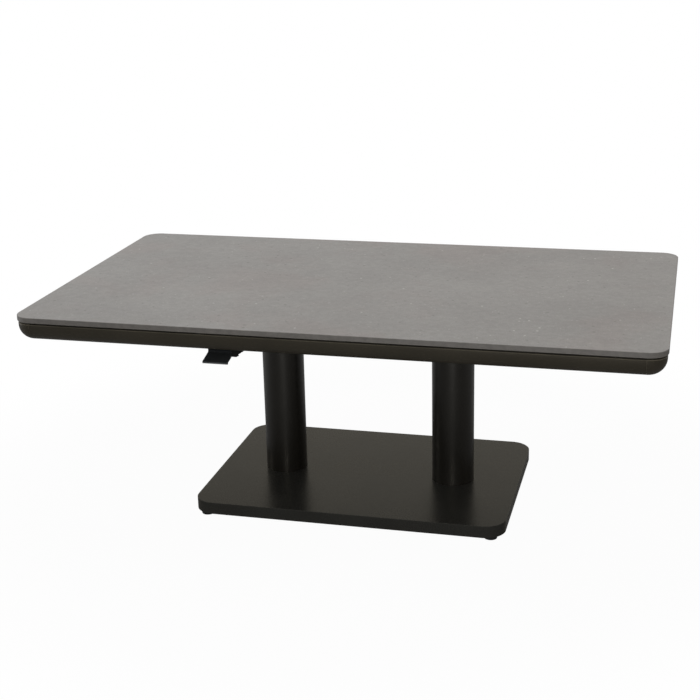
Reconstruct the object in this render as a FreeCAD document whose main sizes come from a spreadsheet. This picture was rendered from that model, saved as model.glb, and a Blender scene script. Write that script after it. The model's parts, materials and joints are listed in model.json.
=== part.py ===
import FreeCAD, Part
import Sketcher
import math
import os
from types import SimpleNamespace

# Adjustable lounge table: a slab on a frame, two telescopic columns and a flat weighted base.
# The floor is z = 0, the length runs along X and the front, with the release paddle, faces -Y.

os.makedirs("parts", exist_ok=True)
document = FreeCAD.newDocument("LoungeTable")

# Driving sizes, in millimetres and degrees
SIZES = {
    "table_length": 1400.0,
    "table_width": 800.0,
    "low_height": 509.0,
    "lift_travel": 200.0,
    "slab_thickness": 12.0,
    "slab_chamfer": 0.8,
    "gasket_thickness": 4.0,
    "gasket_width": 16.0,
    "gasket_inset": 12.0,
    "frame_setback": 2.0,
    "rail_height": 40.0,
    "rail_face": 6.0,
    "rail_flat": 4.0,
    "rail_wall": 2.5,
    "corner_inner_radius": 1.0,
    "rail_lip_radius": 2.0,
    "rail_seam": 0.3,
    "spigot_length": 30.0,
    "spigot_clearance": 0.2,
    "cross_tube_width": 25.0,
    "cross_tube_height": 30.0,
    "cross_tube_wall": 2.0,
    "cross_tube_spacing": 120.0,
    "cleat_leg": 24.0,
    "cleat_thickness": 3.0,
    "cleat_margin": 3.0,
    "head_plate_size": 150.0,
    "head_plate_thickness": 6.0,
    "head_bolt_spacing": 116.0,
    "head_plate_hole": 11.0,
    "column_spacing": 414.0,
    "outer_column_diameter": 99.0,
    "outer_column_wall": 3.0,
    "column_gap": 36.0,
    "inner_column_diameter": 82.0,
    "inner_column_wall": 2.5,
    "inner_column_gap": 14.0,
    "running_clearance": 0.08,
    "fit_clearance": 0.1,
    "upper_guide_length": 42.0,
    "upper_guide_collar": 3.0,
    "lower_guide_length": 40.0,
    "column_flange_diameter": 130.0,
    "column_flange_thickness": 6.0,
    "flange_bolt_circle": 113.0,
    "base_length": 727.0,
    "base_width": 507.0,
    "base_height": 28.0,
    "base_wall": 3.0,
    "base_corner_radius": 48.0,
    "base_chamfer": 0.8,
    "cover_boss_diameter": 14.0,
    "cover_screw_end_inset": 70.0,
    "cover_screw_side_inset": 35.0,
    "ballast_thickness": 12.0,
    "ballast_margin": 6.0,
    "foot_height": 8.0,
    "foot_diameter": 33.0,
    "foot_sole_diameter": 29.0,
    "foot_gap": 0.3,
    "foot_stud_diameter": 10.0,
    "foot_stud_proud": 3.0,
    "foot_inset_x": 31.0,
    "foot_inset_y": 24.0,
    "stand_diameter": 40.0,
    "stand_wall": 3.0,
    "stand_end_thickness": 6.0,
    "stand_spigot_diameter": 20.0,
    "cylinder_diameter": 28.0,
    "cylinder_wall": 1.75,
    "cylinder_headroom": 26.0,
    "stroke_reserve": 22.0,
    "cylinder_end_thickness": 8.0,
    "cylinder_stud_diameter": 8.0,
    "rod_guide_length": 22.0,
    "rod_guide_recess": 2.0,
    "piston_length": 18.0,
    "piston_rest_gap": 8.0,
    "rod_diameter": 10.0,
    "rod_bore": 4.2,
    "release_pin_diameter": 3.6,
    "release_pin_gap": 0.2,
    "release_pin_foot": 6.0,
    "head_width": 26.0,
    "head_length": 46.0,
    "head_height": 30.0,
    "head_slot_width": 7.0,
    "head_slot_front": 16.0,
    "head_slot_back": 20.5,
    "rod_proud": 1.3,
    "rocker_pivot_height": 14.0,
    "rocker_arm": 12.0,
    "rocker_wire_arm": 12.5,
    "rocker_thickness": 6.0,
    "rocker_hub_diameter": 10.0,
    "rocker_nose_diameter": 5.0,
    "rocker_tip": 3.0,
    "pin_travel_gap": 0.4,
    "release_travel": 2.5,
    "pivot_pin_diameter": 4.0,
    "wire_diameter": 1.5,
    "wire_slot": 2.4,
    "nipple_diameter": 4.0,
    "nipple_length": 6.0,
    "head_nipple_gap": 0.15,
    "handle_nipple_gap": 0.3,
    "handle_x": 0.5,
    "handle_setback": 70.0,
    "handle_drop": 6.0,
    "cable_rise": 30.0,
    "crank_radius": 10.0,
    "crank_thickness": 5.0,
    "crank_tip": 3.5,
    "crank_width": 24.0,
    "bracket_width": 32.0,
    "bracket_cheek": 3.0,
    "bracket_left": 7.0,
    "bracket_right": 3.5,
    "bracket_depth": 17.3,
    "bracket_plate": 4.0,
    "bracket_wall_reach": 6.5,
    "bracket_flange_width": 44.0,
    "bracket_flange_height": 36.0,
    "bracket_flange_thickness": 4.0,
    "bracket_round": 2.0,
    "bracket_step_reach": 0.5,
    "bracket_hole_margin": 0.5,
    "paddle_reach": 65.5,
    "paddle_lip_start": 9.0,
    "paddle_thickness": 3.0,
    "paddle_hub_diameter": 10.0,
    "paddle_web_top": 4.5,
    "paddle_web_tip": 4.0,
    "paddle_web_bottom": 15.7,
    "paddle_bend_drop": 13.7,
    "paddle_lip_depth": 40.0,
    "paddle_lip_drop": 22.8,
    "paddle_bead": 4.5,
    "paddle_bend_radius": 4.0,
    "adjuster_pitch": 14.0,
    "adjuster_diameter": 6.0,
    "adjuster_barrel_diameter": 7.0,
    "adjuster_barrel_length": 9.0,
    "adjuster_nut_thickness": 2.0,
    "adjuster_nut_corners": 9.2,
    "adjuster_length": 21.0,
    "adjuster_bore": 2.4,
    "wire_end_gap": 0.5,
    "cable_diameter": 5.0,
    "cable_straight_run": 15.0,
    "cable_loop_reach": 114.0,
    "cable_drop": 4.6,
    "rail_clip_reach": 4.0,
    "slab_clip_reach": 4.0,
    "clip_wall": 1.5,
    "clip_length": 10.0,
    "bolt_diameter": 8.0,
    "bolt_head_diameter": 13.0,
    "bolt_head_height": 4.4,
    "bolt_socket_corners": 5.8,
    "bolt_socket_depth": 2.6,
    "cover_screw_diameter": 6.0,
    "cover_screw_head": 10.0,
    "cover_screw_head_height": 3.0,
    "cover_screw_socket_corners": 4.6,
    "cover_screw_socket_depth": 2.0,
    "screw_diameter": 5.0,
    "screw_head_diameter": 9.0,
    "screw_head_height": 2.6,
    "screw_length": 9.0,
    "screw_socket_corners": 3.5,
    "screw_socket_depth": 1.6,
    "nut_across_corners": 19.6,
    "nut_height": 6.0,
    "cut_overrun": 20.0,
}


class Size:
    """A length that carries both its sheet expression and its value now."""

    def __init__(self, text, value):
        self.text = text
        self.value = value

    def __add__(self, other):
        other = as_size(other)
        return Size(f"({self.text} + {other.text})", self.value + other.value)

    def __radd__(self, other):
        return as_size(other) + self

    def __sub__(self, other):
        other = as_size(other)
        return Size(f"({self.text} - {other.text})", self.value - other.value)

    def __rsub__(self, other):
        return as_size(other) - self

    def __mul__(self, other):
        other = as_size(other)
        return Size(f"({self.text} * {other.text})", self.value * other.value)

    def __rmul__(self, other):
        return as_size(other) * self

    def __truediv__(self, other):
        other = as_size(other)
        return Size(f"({self.text} / {other.text})", self.value / other.value)

    def __neg__(self):
        return Size(f"(0 - {self.text})", -self.value)

    def __float__(self):
        return float(self.value)


def as_size(number):
    """A plain number as a size, so that sums may mix the two."""
    return number if isinstance(number, Size) else Size(repr(number), number)


def fill_sheet():
    """Write the driving sizes into the sheet and return them by name."""
    sheet = document.addObject("Spreadsheet::Sheet", "Sizes")
    named = {}
    for row, (alias, value) in enumerate(SIZES.items(), start=1):
        sheet.set(f"A{row}", alias)
        sheet.set(f"B{row}", str(value))
        sheet.setAlias(f"B{row}", alias)
        named[alias] = Size(f"Sizes.{alias}", value)
    document.recompute()
    return SimpleNamespace(**named)


s = fill_sheet()

# Levels above the floor, table at its lowest
slab_bottom = s.low_height - s.slab_thickness
frame_top = slab_bottom - s.gasket_thickness
rail_bottom = frame_top - s.rail_height
cross_bottom = frame_top - s.cross_tube_height
head_plate_bottom = cross_bottom - s.head_plate_thickness
cover_top = s.foot_height + s.base_height
cover_inside = cover_top - s.base_wall
inner_column_foot = cover_inside + s.inner_column_gap
ballast_top = cover_inside - s.column_flange_thickness
ballast_bottom = ballast_top - s.ballast_thickness
outer_column_top = head_plate_bottom - s.column_gap
cylinder_top = head_plate_bottom - s.cylinder_headroom
piston_room = s.piston_rest_gap + s.piston_length + s.lift_travel + s.stroke_reserve
cylinder_length = s.cylinder_end_thickness + piston_room + s.rod_guide_length + s.rod_guide_recess
stand_top = cylinder_top - cylinder_length
piston_bottom = stand_top + s.cylinder_end_thickness + s.piston_rest_gap
pivot_level = cross_bottom + s.rocker_pivot_height
nose_bottom = pivot_level - s.rocker_nose_diameter / 2
pin_top = nose_bottom - s.release_pin_gap
rod_top = pin_top - s.release_travel - s.pin_travel_gap
slot_floor = rod_top - s.rod_proud
wire_level = pivot_level + s.rocker_wire_arm
handle_level = rail_bottom - s.handle_drop

# Plan positions and sizes that follow from others
rail_round = s.rail_height - s.rail_face
rail_depth = rail_round + s.rail_flat
frame_corner_radius = rail_depth + s.corner_inner_radius
slab_corner_radius = frame_corner_radius + s.frame_setback
frame_half_length = s.table_length / 2 - s.frame_setback
frame_half_width = s.table_width / 2 - s.frame_setback
rail_inner_y = frame_half_width - rail_depth
screw_level = cross_bottom + s.cross_tube_height / 2
column_x = s.column_spacing / 2
handle_reach_x = column_x - s.handle_x
tube_offset = s.cross_tube_spacing / 2
outer_bore = s.outer_column_diameter - 2 * s.outer_column_wall
inner_bore = s.inner_column_diameter - 2 * s.inner_column_wall
cylinder_bore = s.cylinder_diameter - 2 * s.cylinder_wall
handle_y = s.table_width / 2 - s.handle_setback
screw_hole = s.screw_diameter + 2 * s.fit_clearance
cleat_screw_reach = s.cleat_leg - s.screw_head_diameter
bracket_screw_reach = s.bracket_flange_width / 2 - s.screw_head_diameter
spine_reach = column_x - tube_offset - s.cross_tube_width / 2
foot_x = s.base_length / 2 - s.foot_inset_x
foot_y = s.base_width / 2 - s.foot_inset_y
rise_cos = Size("cos(Sizes.cable_rise)", math.cos(math.radians(s.cable_rise.value)))
rise_sin = Size("sin(Sizes.cable_rise)", math.sin(math.radians(s.cable_rise.value)))

subparts = []
X_AXIS = FreeCAD.Vector(1, 0, 0)
Y_AXIS = FreeCAD.Vector(0, 1, 0)
Z_AXIS = FreeCAD.Vector(0, 0, 1)


def bind(item, name, size):
    """Tie one property of an object to a size."""
    item.setExpression(name, as_size(size).text)


def place(item, x=0, y=0, z=0):
    """Tie an object's position to three sizes."""
    for letter, size in zip("xyz", (x, y, z)):
        if isinstance(size, Size):
            bind(item, f"Placement.Base.{letter}", size)


def finish(item, label, x=0, y=0, z=0):
    """Name a finished piece, place it and list it for export."""
    item.Label = label
    place(item, x, y, z)
    subparts.append(item)
    return item


# Part primitives and booleans
def cylinder(diameter, bottom, top, x=0, y=0):
    """An upright cylinder between two levels."""
    item = document.addObject("Part::Cylinder", "Round")
    bind(item, "Radius", diameter / 2)
    bind(item, "Height", top - bottom)
    place(item, x, y, as_size(bottom))
    return item


def lying_cylinder(diameter, start, end, axis, x=0, y=0, z=0):
    """A cylinder along X or Y, between two positions on that axis."""
    item = document.addObject("Part::Cylinder", "Lying")
    bind(item, "Radius", diameter / 2)
    bind(item, "Height", end - start)
    if axis == "x":
        item.Placement.Rotation = FreeCAD.Rotation(Z_AXIS, X_AXIS)
        place(item, as_size(start), y, z)
    else:
        item.Placement.Rotation = FreeCAD.Rotation(Z_AXIS, Y_AXIS)
        place(item, x, as_size(start), z)
    return item


def block(x0, x1, y0, y1, z0, z1):
    """A box between six planes."""
    item = document.addObject("Part::Box", "Block")
    bind(item, "Length", x1 - x0)
    bind(item, "Width", y1 - y0)
    bind(item, "Height", z1 - z0)
    place(item, as_size(x0), as_size(y0), as_size(z0))
    return item


def joined(items):
    """Several solids fused to one."""
    if len(items) == 1:
        return items[0]
    item = document.addObject("Part::MultiFuse", "Joined")
    item.Shapes = items
    return item


def carved(solids, tools):
    """Fused solids with tools cut away."""
    if not tools:
        return joined(solids)
    item = document.addObject("Part::Cut", "Carved")
    item.Base = joined(solids)
    item.Tool = joined(tools)
    return item


# PartDesign bodies and sketches
def new_body(label, x=0, y=0, z=0):
    body = document.addObject("PartDesign::Body", label)
    body.AllowCompound = True
    return finish(body, label, x, y, z)


def new_sketch(body, role, level=None):
    """A sketch on one of the body's own planes, moved along its normal."""
    sketch = body.newObject("Sketcher::SketchObject", "Outline")
    planes = [item for item in body.Origin.OriginFeatures if item.Role == role]
    sketch.AttachmentSupport = [(planes[0], "")]
    sketch.MapMode = "FlatFace"
    if level is not None:
        bind(sketch, "AttachmentOffset.Base.z", level)
    return sketch


def pin_point(sketch, rules, drivers, geometry, point, x, y):
    """Add the two rules that hold a point of the sketch at (x, y)."""
    for kind, across, size in (("DistanceX", -2, as_size(x)), ("DistanceY", -1, as_size(y))):
        if size.value == 0:
            rules.append(Sketcher.Constraint("PointOnObject", geometry, point, across))
        else:
            rules.append(Sketcher.Constraint(kind, -1, 1, geometry, point, size.value))
            drivers.append((len(rules) - 1, size))


def apply_rules(sketch, rules, drivers):
    """Give the sketch its rules and tie the ones with a size to the sheet."""
    first = sketch.ConstraintCount
    sketch.addConstraint(rules)
    for index, size in drivers:
        name = f"size_{first + index}"
        sketch.renameConstraint(first + index, name)
        sketch.setExpression(f"Constraints.{name}", size.text)


def closed_path(sketch, corners):
    """A closed outline. A corner is (x, y), or (x, y, cx, cy, turn, radius) where an arc ends."""
    rules = []
    drivers = []
    first = sketch.GeometryCount
    count = len(corners)
    ends = []
    for index, corner in enumerate(corners):
        before = corners[index - 1]
        start = FreeCAD.Vector(float(before[0]), float(before[1]), 0)
        end = FreeCAD.Vector(float(corner[0]), float(corner[1]), 0)
        if len(corner) == 2:
            sketch.addGeometry(Part.LineSegment(start, end))
            ends.append((1, 2))
            continue
        centre = FreeCAD.Vector(float(corner[2]), float(corner[3]), 0)
        radius = (end - centre).Length
        angles = [math.atan2(p.y - centre.y, p.x - centre.x) for p in (start, end)]
        if corner[4] < 0:
            angles.reverse()
        sketch.addGeometry(Part.ArcOfCircle(Part.Circle(centre, Z_AXIS, radius), *angles))
        ends.append((1, 2) if corner[4] > 0 else (2, 1))
    for index, corner in enumerate(corners):
        here = first + index
        after = (index + 1) % count
        rules.append(Sketcher.Constraint("Coincident", here, ends[index][1], first + after, ends[after][0]))
        pin_point(sketch, rules, drivers, here, ends[index][1], corner[0], corner[1])
        if len(corner) > 2:
            radius = corner[5]
            rules.append(Sketcher.Constraint("Radius", here, radius.value))
            drivers.append((len(rules) - 1, radius))
    apply_rules(sketch, rules, drivers)


def rectangle(sketch, x0, x1, y0, y1):
    closed_path(sketch, [(x0, y0), (x1, y0), (x1, y1), (x0, y1)])


def rounded_rectangle(sketch, half_x, half_y, radius):
    """A centred rectangle with round corners."""
    x, y, r = half_x, half_y, radius
    closed_path(sketch, [
        (x, y - r),
        (x - r, y, x - r, y - r, 1, r),
        (r - x, y),
        (-x, y - r, r - x, y - r, 1, r),
        (-x, r - y),
        (r - x, -y, r - x, r - y, 1, r),
        (x - r, -y),
        (x, r - y, x - r, r - y, 1, r),
    ])


def circles(sketch, centres, diameter):
    rules = []
    drivers = []
    first = sketch.GeometryCount
    for index, (x, y) in enumerate(centres):
        centre = FreeCAD.Vector(float(x), float(y), 0)
        sketch.addGeometry(Part.Circle(centre, Z_AXIS, diameter.value / 2))
        pin_point(sketch, rules, drivers, first + index, 3, x, y)
        rules.append(Sketcher.Constraint("Diameter", first + index, diameter.value))
        drivers.append((len(rules) - 1, diameter))
    apply_rules(sketch, rules, drivers)


def hexagon(sketch, x, y, corners):
    """A regular hexagon with two corners on a line along x."""
    corner = corners / 2
    half_flat = corner * Size("cos(30)", math.cos(math.radians(30)))
    closed_path(sketch, [
        (x + corner, y),
        (x + corner / 2, y + half_flat),
        (x - corner / 2, y + half_flat),
        (x - corner, y),
        (x - corner / 2, y - half_flat),
        (x + corner / 2, y - half_flat),
    ])


def pad(body, sketch, length, backwards=False):
    feature = body.newObject("PartDesign::Pad", "Pad")
    feature.Profile = sketch
    feature.Reversed = backwards
    bind(feature, "Length", length)
    sketch.Visibility = False
    return feature


def pocket(body, sketch, length, backwards=False):
    feature = body.newObject("PartDesign::Pocket", "Pocket")
    feature.Profile = sketch
    feature.Reversed = backwards
    bind(feature, "Length", length)
    sketch.Visibility = False
    return feature


def edges_where(shape, wanted):
    """The names of the edges whose middle passes a test."""
    names = []
    for index, edge in enumerate(shape.Edges, start=1):
        if wanted(edge):
            names.append(f"Edge{index}")
    return names


def dress(body, kind, size_name, size, wanted):
    """Chamfer or fillet the edges of the last feature that pass a test."""
    document.recompute()
    base = body.Tip
    feature = body.newObject(f"PartDesign::{kind}", kind)
    feature.Base = (base, edges_where(base.Shape, wanted))
    bind(feature, size_name, size)
    return feature


def lies_at(level):
    """A test for edges that lie flat at one level."""
    tolerance = 0.001

    def wanted(edge):
        box = edge.BoundBox
        return abs(box.ZMin - level.value) < tolerance and abs(box.ZMax - level.value) < tolerance

    return wanted


def runs_along_y(places):
    """A test for edges along Y that pass through one of the places (x, z)."""
    tolerance = 0.001

    def wanted(edge):
        box = edge.BoundBox
        if box.XLength > tolerance or box.ZLength > tolerance:
            return False
        return any(abs(box.XMin - float(x)) < tolerance and abs(box.ZMin - float(z)) < tolerance
                   for x, z in places)

    return wanted


def runs_along_x(y, z):
    """A test for edges along X through the place (y, z)."""
    tolerance = 0.001

    def wanted(edge):
        box = edge.BoundBox
        if box.YLength > tolerance or box.ZLength > tolerance:
            return False
        return abs(box.YMin - float(y)) < tolerance and abs(box.ZMin - float(z)) < tolerance

    return wanted


# Slab and gasket
def make_slab():
    body = new_body("tabletop_slab", z=slab_bottom)
    outline = new_sketch(body, "XY_Plane")
    rounded_rectangle(outline, s.table_length / 2, s.table_width / 2, slab_corner_radius)
    pad(body, outline, s.slab_thickness)
    dress(body, "Chamfer", "Size", s.slab_chamfer, lies_at(s.slab_thickness))
    dress(body, "Chamfer", "Size", s.slab_chamfer, lies_at(as_size(0)))


def make_gasket():
    """A foam ring on the rails and a strip on each cross tube."""
    body = new_body("slab_gasket", z=frame_top)
    ring = new_sketch(body, "XY_Plane")
    outer_x = frame_half_length - s.gasket_inset
    outer_y = frame_half_width - s.gasket_inset
    radius = frame_corner_radius - s.gasket_inset
    rounded_rectangle(ring, outer_x, outer_y, radius)
    rounded_rectangle(ring, outer_x - s.gasket_width, outer_y - s.gasket_width, radius - s.gasket_width)
    pad(body, ring, s.gasket_thickness)
    for side in (-1, 1):
        for offset in (-tube_offset, tube_offset):
            middle = side * column_x + offset
            strip = new_sketch(body, "XY_Plane")
            reach = outer_y - s.gasket_width - s.gasket_inset
            half = s.gasket_width / 2
            rectangle(strip, middle - half, middle + half, -reach, reach)
            pad(body, strip, s.gasket_thickness)


# Frame rails and corners
def rail_outline(sketch, reach):
    """The rail's outer section, its round face towards +x at the given reach."""
    wide, high, round_off, lip = rail_depth, s.rail_height, rail_round, s.rail_lip_radius
    closed_path(sketch, [
        (reach - wide, 0),
        (reach - round_off, 0),
        (reach, round_off, reach - round_off, round_off, 1, round_off),
        (reach, high - lip),
        (reach - lip, high, reach - lip, high - lip, 1, lip),
        (reach - wide, high),
    ])


def rail_hollow(sketch, reach, wall):
    """The rail's hollow, or with a thicker wall the spigot that fills it."""
    wide, high, round_off = rail_depth, s.rail_height, rail_round
    closed_path(sketch, [
        (reach - wide + wall, wall),
        (reach - round_off, wall),
        (reach - wall, round_off, reach - round_off, round_off, 1, round_off - wall),
        (reach - wall, high - wall),
        (reach - wide + wall, high - wall),
    ])


def corner_screw_along(half_span):
    """How far from a rail's middle the screw sits that holds a corner's spigot."""
    return half_span - frame_corner_radius - s.spigot_length / 2


def make_rail(label, reach, half_span, turn, places):
    """One hollow rail with screw holes. It is drawn for the right side and turned into place."""
    body = new_body(label, z=rail_bottom)
    body.Placement.Rotation = FreeCAD.Rotation(Z_AXIS, turn)
    half = half_span - frame_corner_radius - s.rail_seam
    outline = new_sketch(body, "XZ_Plane", -half)
    rail_outline(outline, reach)
    pad(body, outline, 2 * half)
    hollow = new_sketch(body, "XZ_Plane", half)
    rail_hollow(hollow, reach, s.rail_wall)
    pocket(body, hollow, 2 * half)
    holes = new_sketch(body, "YZ_Plane", reach - rail_depth)
    corner = corner_screw_along(half_span)
    level = screw_level - rail_bottom
    circles(holes, [(along, level) for along in [-corner, corner] + places], screw_hole)
    pocket(body, holes, s.rail_wall, True)


def make_corner(label, side_x, side_y, turn):
    """A cast corner, a quarter turn of the rail's section, with a spigot into each rail."""
    x = side_x * (frame_half_length - frame_corner_radius)
    y = side_y * (frame_half_width - frame_corner_radius)
    body = new_body(label, x, y, rail_bottom)
    body.Placement.Rotation = FreeCAD.Rotation(Z_AXIS, turn)
    section = new_sketch(body, "XZ_Plane")
    rail_outline(section, frame_corner_radius)
    bend = body.newObject("PartDesign::Revolution", "Bend")
    bend.Profile = section
    bend.ReferenceAxis = (section, ["V_Axis"])
    bend.Angle = 90
    section.Visibility = False
    wall = s.rail_wall + s.spigot_clearance
    for role, backwards in (("XZ_Plane", False), ("YZ_Plane", True)):
        spigot = new_sketch(body, role)
        rail_hollow(spigot, frame_corner_radius, wall)
        pad(body, spigot, s.spigot_length, backwards)
    middle = -s.spigot_length / 2
    level = screw_level - rail_bottom
    inside = frame_corner_radius - rail_depth
    holes = new_sketch(body, "YZ_Plane", inside)
    circles(holes, [(middle, level)], screw_hole)
    pocket(body, holes, s.screw_length + wall, True)
    holes = new_sketch(body, "XZ_Plane", -inside)
    circles(holes, [(middle, level)], screw_hole)
    pocket(body, holes, s.screw_length + wall)


def cleat_screws_along_rail():
    """Where the cleats of the cross tubes are screwed to the front and back rails."""
    beside = s.cross_tube_width / 2 + cleat_screw_reach
    return [side * column_x + offset * (tube_offset + beside) for side in (-1, 1) for offset in (-1, 1)]


def make_frame():
    cleats = cleat_screws_along_rail()
    bracket = [-handle_reach_x - bracket_screw_reach, -handle_reach_x + bracket_screw_reach]
    make_rail("frame_rail_right", frame_half_length, frame_half_width, 0, [])
    make_rail("frame_rail_back", frame_half_width, frame_half_length, 90, cleats)
    make_rail("frame_rail_left", frame_half_length, frame_half_width, 180, [])
    make_rail("frame_rail_front", frame_half_width, frame_half_length, 270, cleats + bracket)
    make_corner("frame_corner_back_right", 1, 1, 0)
    make_corner("frame_corner_back_left", -1, 1, 90)
    make_corner("frame_corner_front_left", -1, -1, 180)
    make_corner("frame_corner_front_right", 1, -1, 270)


# Cross tubes and spine
def tube_side_hole(side, y):
    """A screw hole in the side wall of a cross tube that faces towards side."""
    face = s.cross_tube_width / 2
    wall = s.cross_tube_wall
    start, end = (face - wall, face) if side > 0 else (-face, wall - face)
    return lying_cylinder(screw_hole, start, end, "x", y=y, z=screw_level)


def make_cross_tubes():
    """Two tubes over each column, front rail to back rail, with two bolt holes each."""
    half_width = s.cross_tube_width / 2
    wall = s.cross_tube_wall
    hole = s.bolt_diameter + 2 * s.fit_clearance
    for side, side_name in ((-1, "left"), (1, "right")):
        for offset, place_name in ((side, "outer"), (-side, "inner")):
            solid = block(-half_width, half_width, -rail_inner_y, rail_inner_y, cross_bottom, frame_top)
            inside = block(wall - half_width, half_width - wall, -rail_inner_y, rail_inner_y,
                           cross_bottom + wall, frame_top - wall)
            tools = [inside]
            for end in (-1, 1):
                y = end * s.head_bolt_spacing / 2
                tools.append(cylinder(hole, cross_bottom - wall, cross_bottom + 2 * wall, 0, y))
                tools.append(tube_side_hole(offset, end * (rail_inner_y - cleat_screw_reach)))
                if place_name == "inner":
                    tools.append(tube_side_hole(offset, end * (half_width + cleat_screw_reach)))
            tube = carved([solid], tools)
            finish(tube, f"cross_tube_{side_name}_{place_name}", side * column_x + offset * tube_offset)


def make_spine():
    """A tube along the middle between the inner cross tubes."""
    reach = spine_reach
    half_width = s.cross_tube_width / 2
    wall = s.cross_tube_wall
    solid = block(-reach, reach, -half_width, half_width, cross_bottom, frame_top)
    tools = [block(-reach, reach, wall - half_width, half_width - wall, cross_bottom + wall, frame_top - wall)]
    for end in (-1, 1):
        x = end * (reach - cleat_screw_reach)
        tools.append(lying_cylinder(screw_hole, -half_width, half_width, "y", x=x, z=screw_level))
    finish(carved([solid], tools), "centre_spine")


# Columns
def make_columns():
    """Outer columns with their welded foot flange, and inner columns with their welded head plate."""
    hole = s.bolt_diameter + 2 * s.fit_clearance
    for side, name in ((-1, "left"), (1, "right")):
        tube = cylinder(s.outer_column_diameter, cover_inside, outer_column_top)
        flange = cylinder(s.column_flange_diameter, ballast_top, cover_inside)
        tools = [
            cylinder(outer_bore, cover_inside, outer_column_top),
            cylinder(s.stand_spigot_diameter + 2 * s.fit_clearance, ballast_top, cover_inside),
        ]
        for x, y in flange_bolt_places():
            tools.append(cylinder(hole, ballast_top, cover_inside, x, y))
        finish(carved([tube, flange], tools), f"outer_column_{name}", side * column_x)

        half = s.head_plate_size / 2
        plate = block(-half, half, -half, half, head_plate_bottom, cross_bottom)
        tube = cylinder(s.inner_column_diameter, inner_column_foot, head_plate_bottom)
        tools = [
            cylinder(inner_bore, inner_column_foot, head_plate_bottom),
            cylinder(s.head_plate_hole, head_plate_bottom, cross_bottom),
        ]
        for x in (-tube_offset, tube_offset):
            for end in (-1, 1):
                y = end * s.head_bolt_spacing / 2
                tools.append(cylinder(hole, head_plate_bottom, cross_bottom, x, y))
        finish(carved([tube, plate], tools), f"inner_column_{name}", side * column_x)


def flange_bolt_places():
    """Four bolt places around a column's foot, on the diagonals."""
    diagonal_share = 0.5 ** 0.5
    reach = s.flange_bolt_circle / 2 * diagonal_share
    return [(x, y) for x in (-reach, reach) for y in (-reach, reach)]


def make_guides():
    """Plastic guides: one in the top of each outer column, one round the foot of each inner column."""
    for side, name in ((-1, "left"), (1, "right")):
        sleeve = cylinder(outer_bore - 2 * s.fit_clearance, outer_column_top - s.upper_guide_length,
                          outer_column_top)
        collar = cylinder(s.outer_column_diameter, outer_column_top, outer_column_top + s.upper_guide_collar)
        bore = cylinder(s.inner_column_diameter + 2 * s.running_clearance,
                        outer_column_top - s.upper_guide_length, outer_column_top + s.upper_guide_collar)
        finish(carved([sleeve, collar], [bore]), f"upper_guide_{name}", side * column_x)

        ring = cylinder(outer_bore - 2 * s.running_clearance, inner_column_foot,
                        inner_column_foot + s.lower_guide_length)
        bore = cylinder(s.inner_column_diameter + s.fit_clearance, inner_column_foot,
                        inner_column_foot + s.lower_guide_length)
        finish(carved([ring], [bore]), f"lower_guide_{name}", side * column_x)


# Base
def foot_places():
    return [("front_left", -foot_x, -foot_y), ("front_right", foot_x, -foot_y),
            ("back_left", -foot_x, foot_y), ("back_right", foot_x, foot_y)]


def cover_screw_places():
    """Three screws along each long side, clear of the feet."""
    x = s.base_length / 2 - s.cover_screw_end_inset
    y = s.base_width / 2 - s.cover_screw_side_inset
    return [(across, along) for across in (-x, 0, x) for along in (-y, y)]


def make_base_cover():
    """A tray upside down, with a hole for each column and a boss for each screw."""
    body = new_body("base_cover", z=s.foot_height)
    outline = new_sketch(body, "XY_Plane")
    rounded_rectangle(outline, s.base_length / 2, s.base_width / 2, s.base_corner_radius)
    pad(body, outline, s.base_height)
    dress(body, "Chamfer", "Size", s.base_chamfer, lies_at(s.base_height))
    hollow = new_sketch(body, "XY_Plane")
    rounded_rectangle(hollow, s.base_length / 2 - s.base_wall, s.base_width / 2 - s.base_wall,
                      s.base_corner_radius - s.base_wall)
    pocket(body, hollow, s.base_height - s.base_wall, True)
    bosses = new_sketch(body, "XY_Plane", ballast_top - s.foot_height)
    circles(bosses, cover_screw_places(), s.cover_boss_diameter)
    pad(body, bosses, s.column_flange_thickness)
    holes = new_sketch(body, "XY_Plane", ballast_top - s.foot_height)
    circles(holes, [(-column_x, 0), (column_x, 0)], s.outer_column_diameter + 2 * s.foot_gap)
    pocket(body, holes, s.column_flange_thickness + s.base_wall, True)
    threads = new_sketch(body, "XY_Plane", ballast_top - s.foot_height)
    circles(threads, cover_screw_places(), s.cover_screw_diameter + 2 * s.fit_clearance)
    pocket(body, threads, s.column_flange_thickness, True)


def make_ballast():
    """The steel plate that all is bolted to, with holes for bolts, screws and feet."""
    body = new_body("ballast_plate", z=ballast_bottom)
    outline = new_sketch(body, "XY_Plane")
    inset = s.base_wall + s.ballast_margin
    rounded_rectangle(outline, s.base_length / 2 - inset, s.base_width / 2 - inset, s.base_corner_radius - inset)
    pad(body, outline, s.ballast_thickness)
    bolts = []
    for side in (-1, 1):
        bolts.append((side * column_x, 0))
        for x, y in flange_bolt_places():
            bolts.append((side * column_x + x, y))
    feet = [(x, y) for _, x, y in foot_places()]
    for places, diameter in ((bolts, s.bolt_diameter), (cover_screw_places(), s.cover_screw_diameter),
                             (feet, s.foot_stud_diameter)):
        holes = new_sketch(body, "XY_Plane")
        circles(holes, places, diameter + 2 * s.fit_clearance)
        pocket(body, holes, s.ballast_thickness, True)


def make_feet():
    """Four levelling feet: a tapered disc on a stud that turns in the ballast plate."""
    for name, x, y in foot_places():
        disc = document.addObject("Part::Cone", "Disc")
        bind(disc, "Radius1", s.foot_sole_diameter / 2)
        bind(disc, "Radius2", s.foot_diameter / 2)
        bind(disc, "Height", s.foot_height - s.foot_gap)
        stud = cylinder(s.foot_stud_diameter, s.foot_height - s.foot_gap, ballast_top + s.foot_stud_proud)
        finish(joined([disc, stud]), f"levelling_foot_{name}", x, y)


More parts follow.
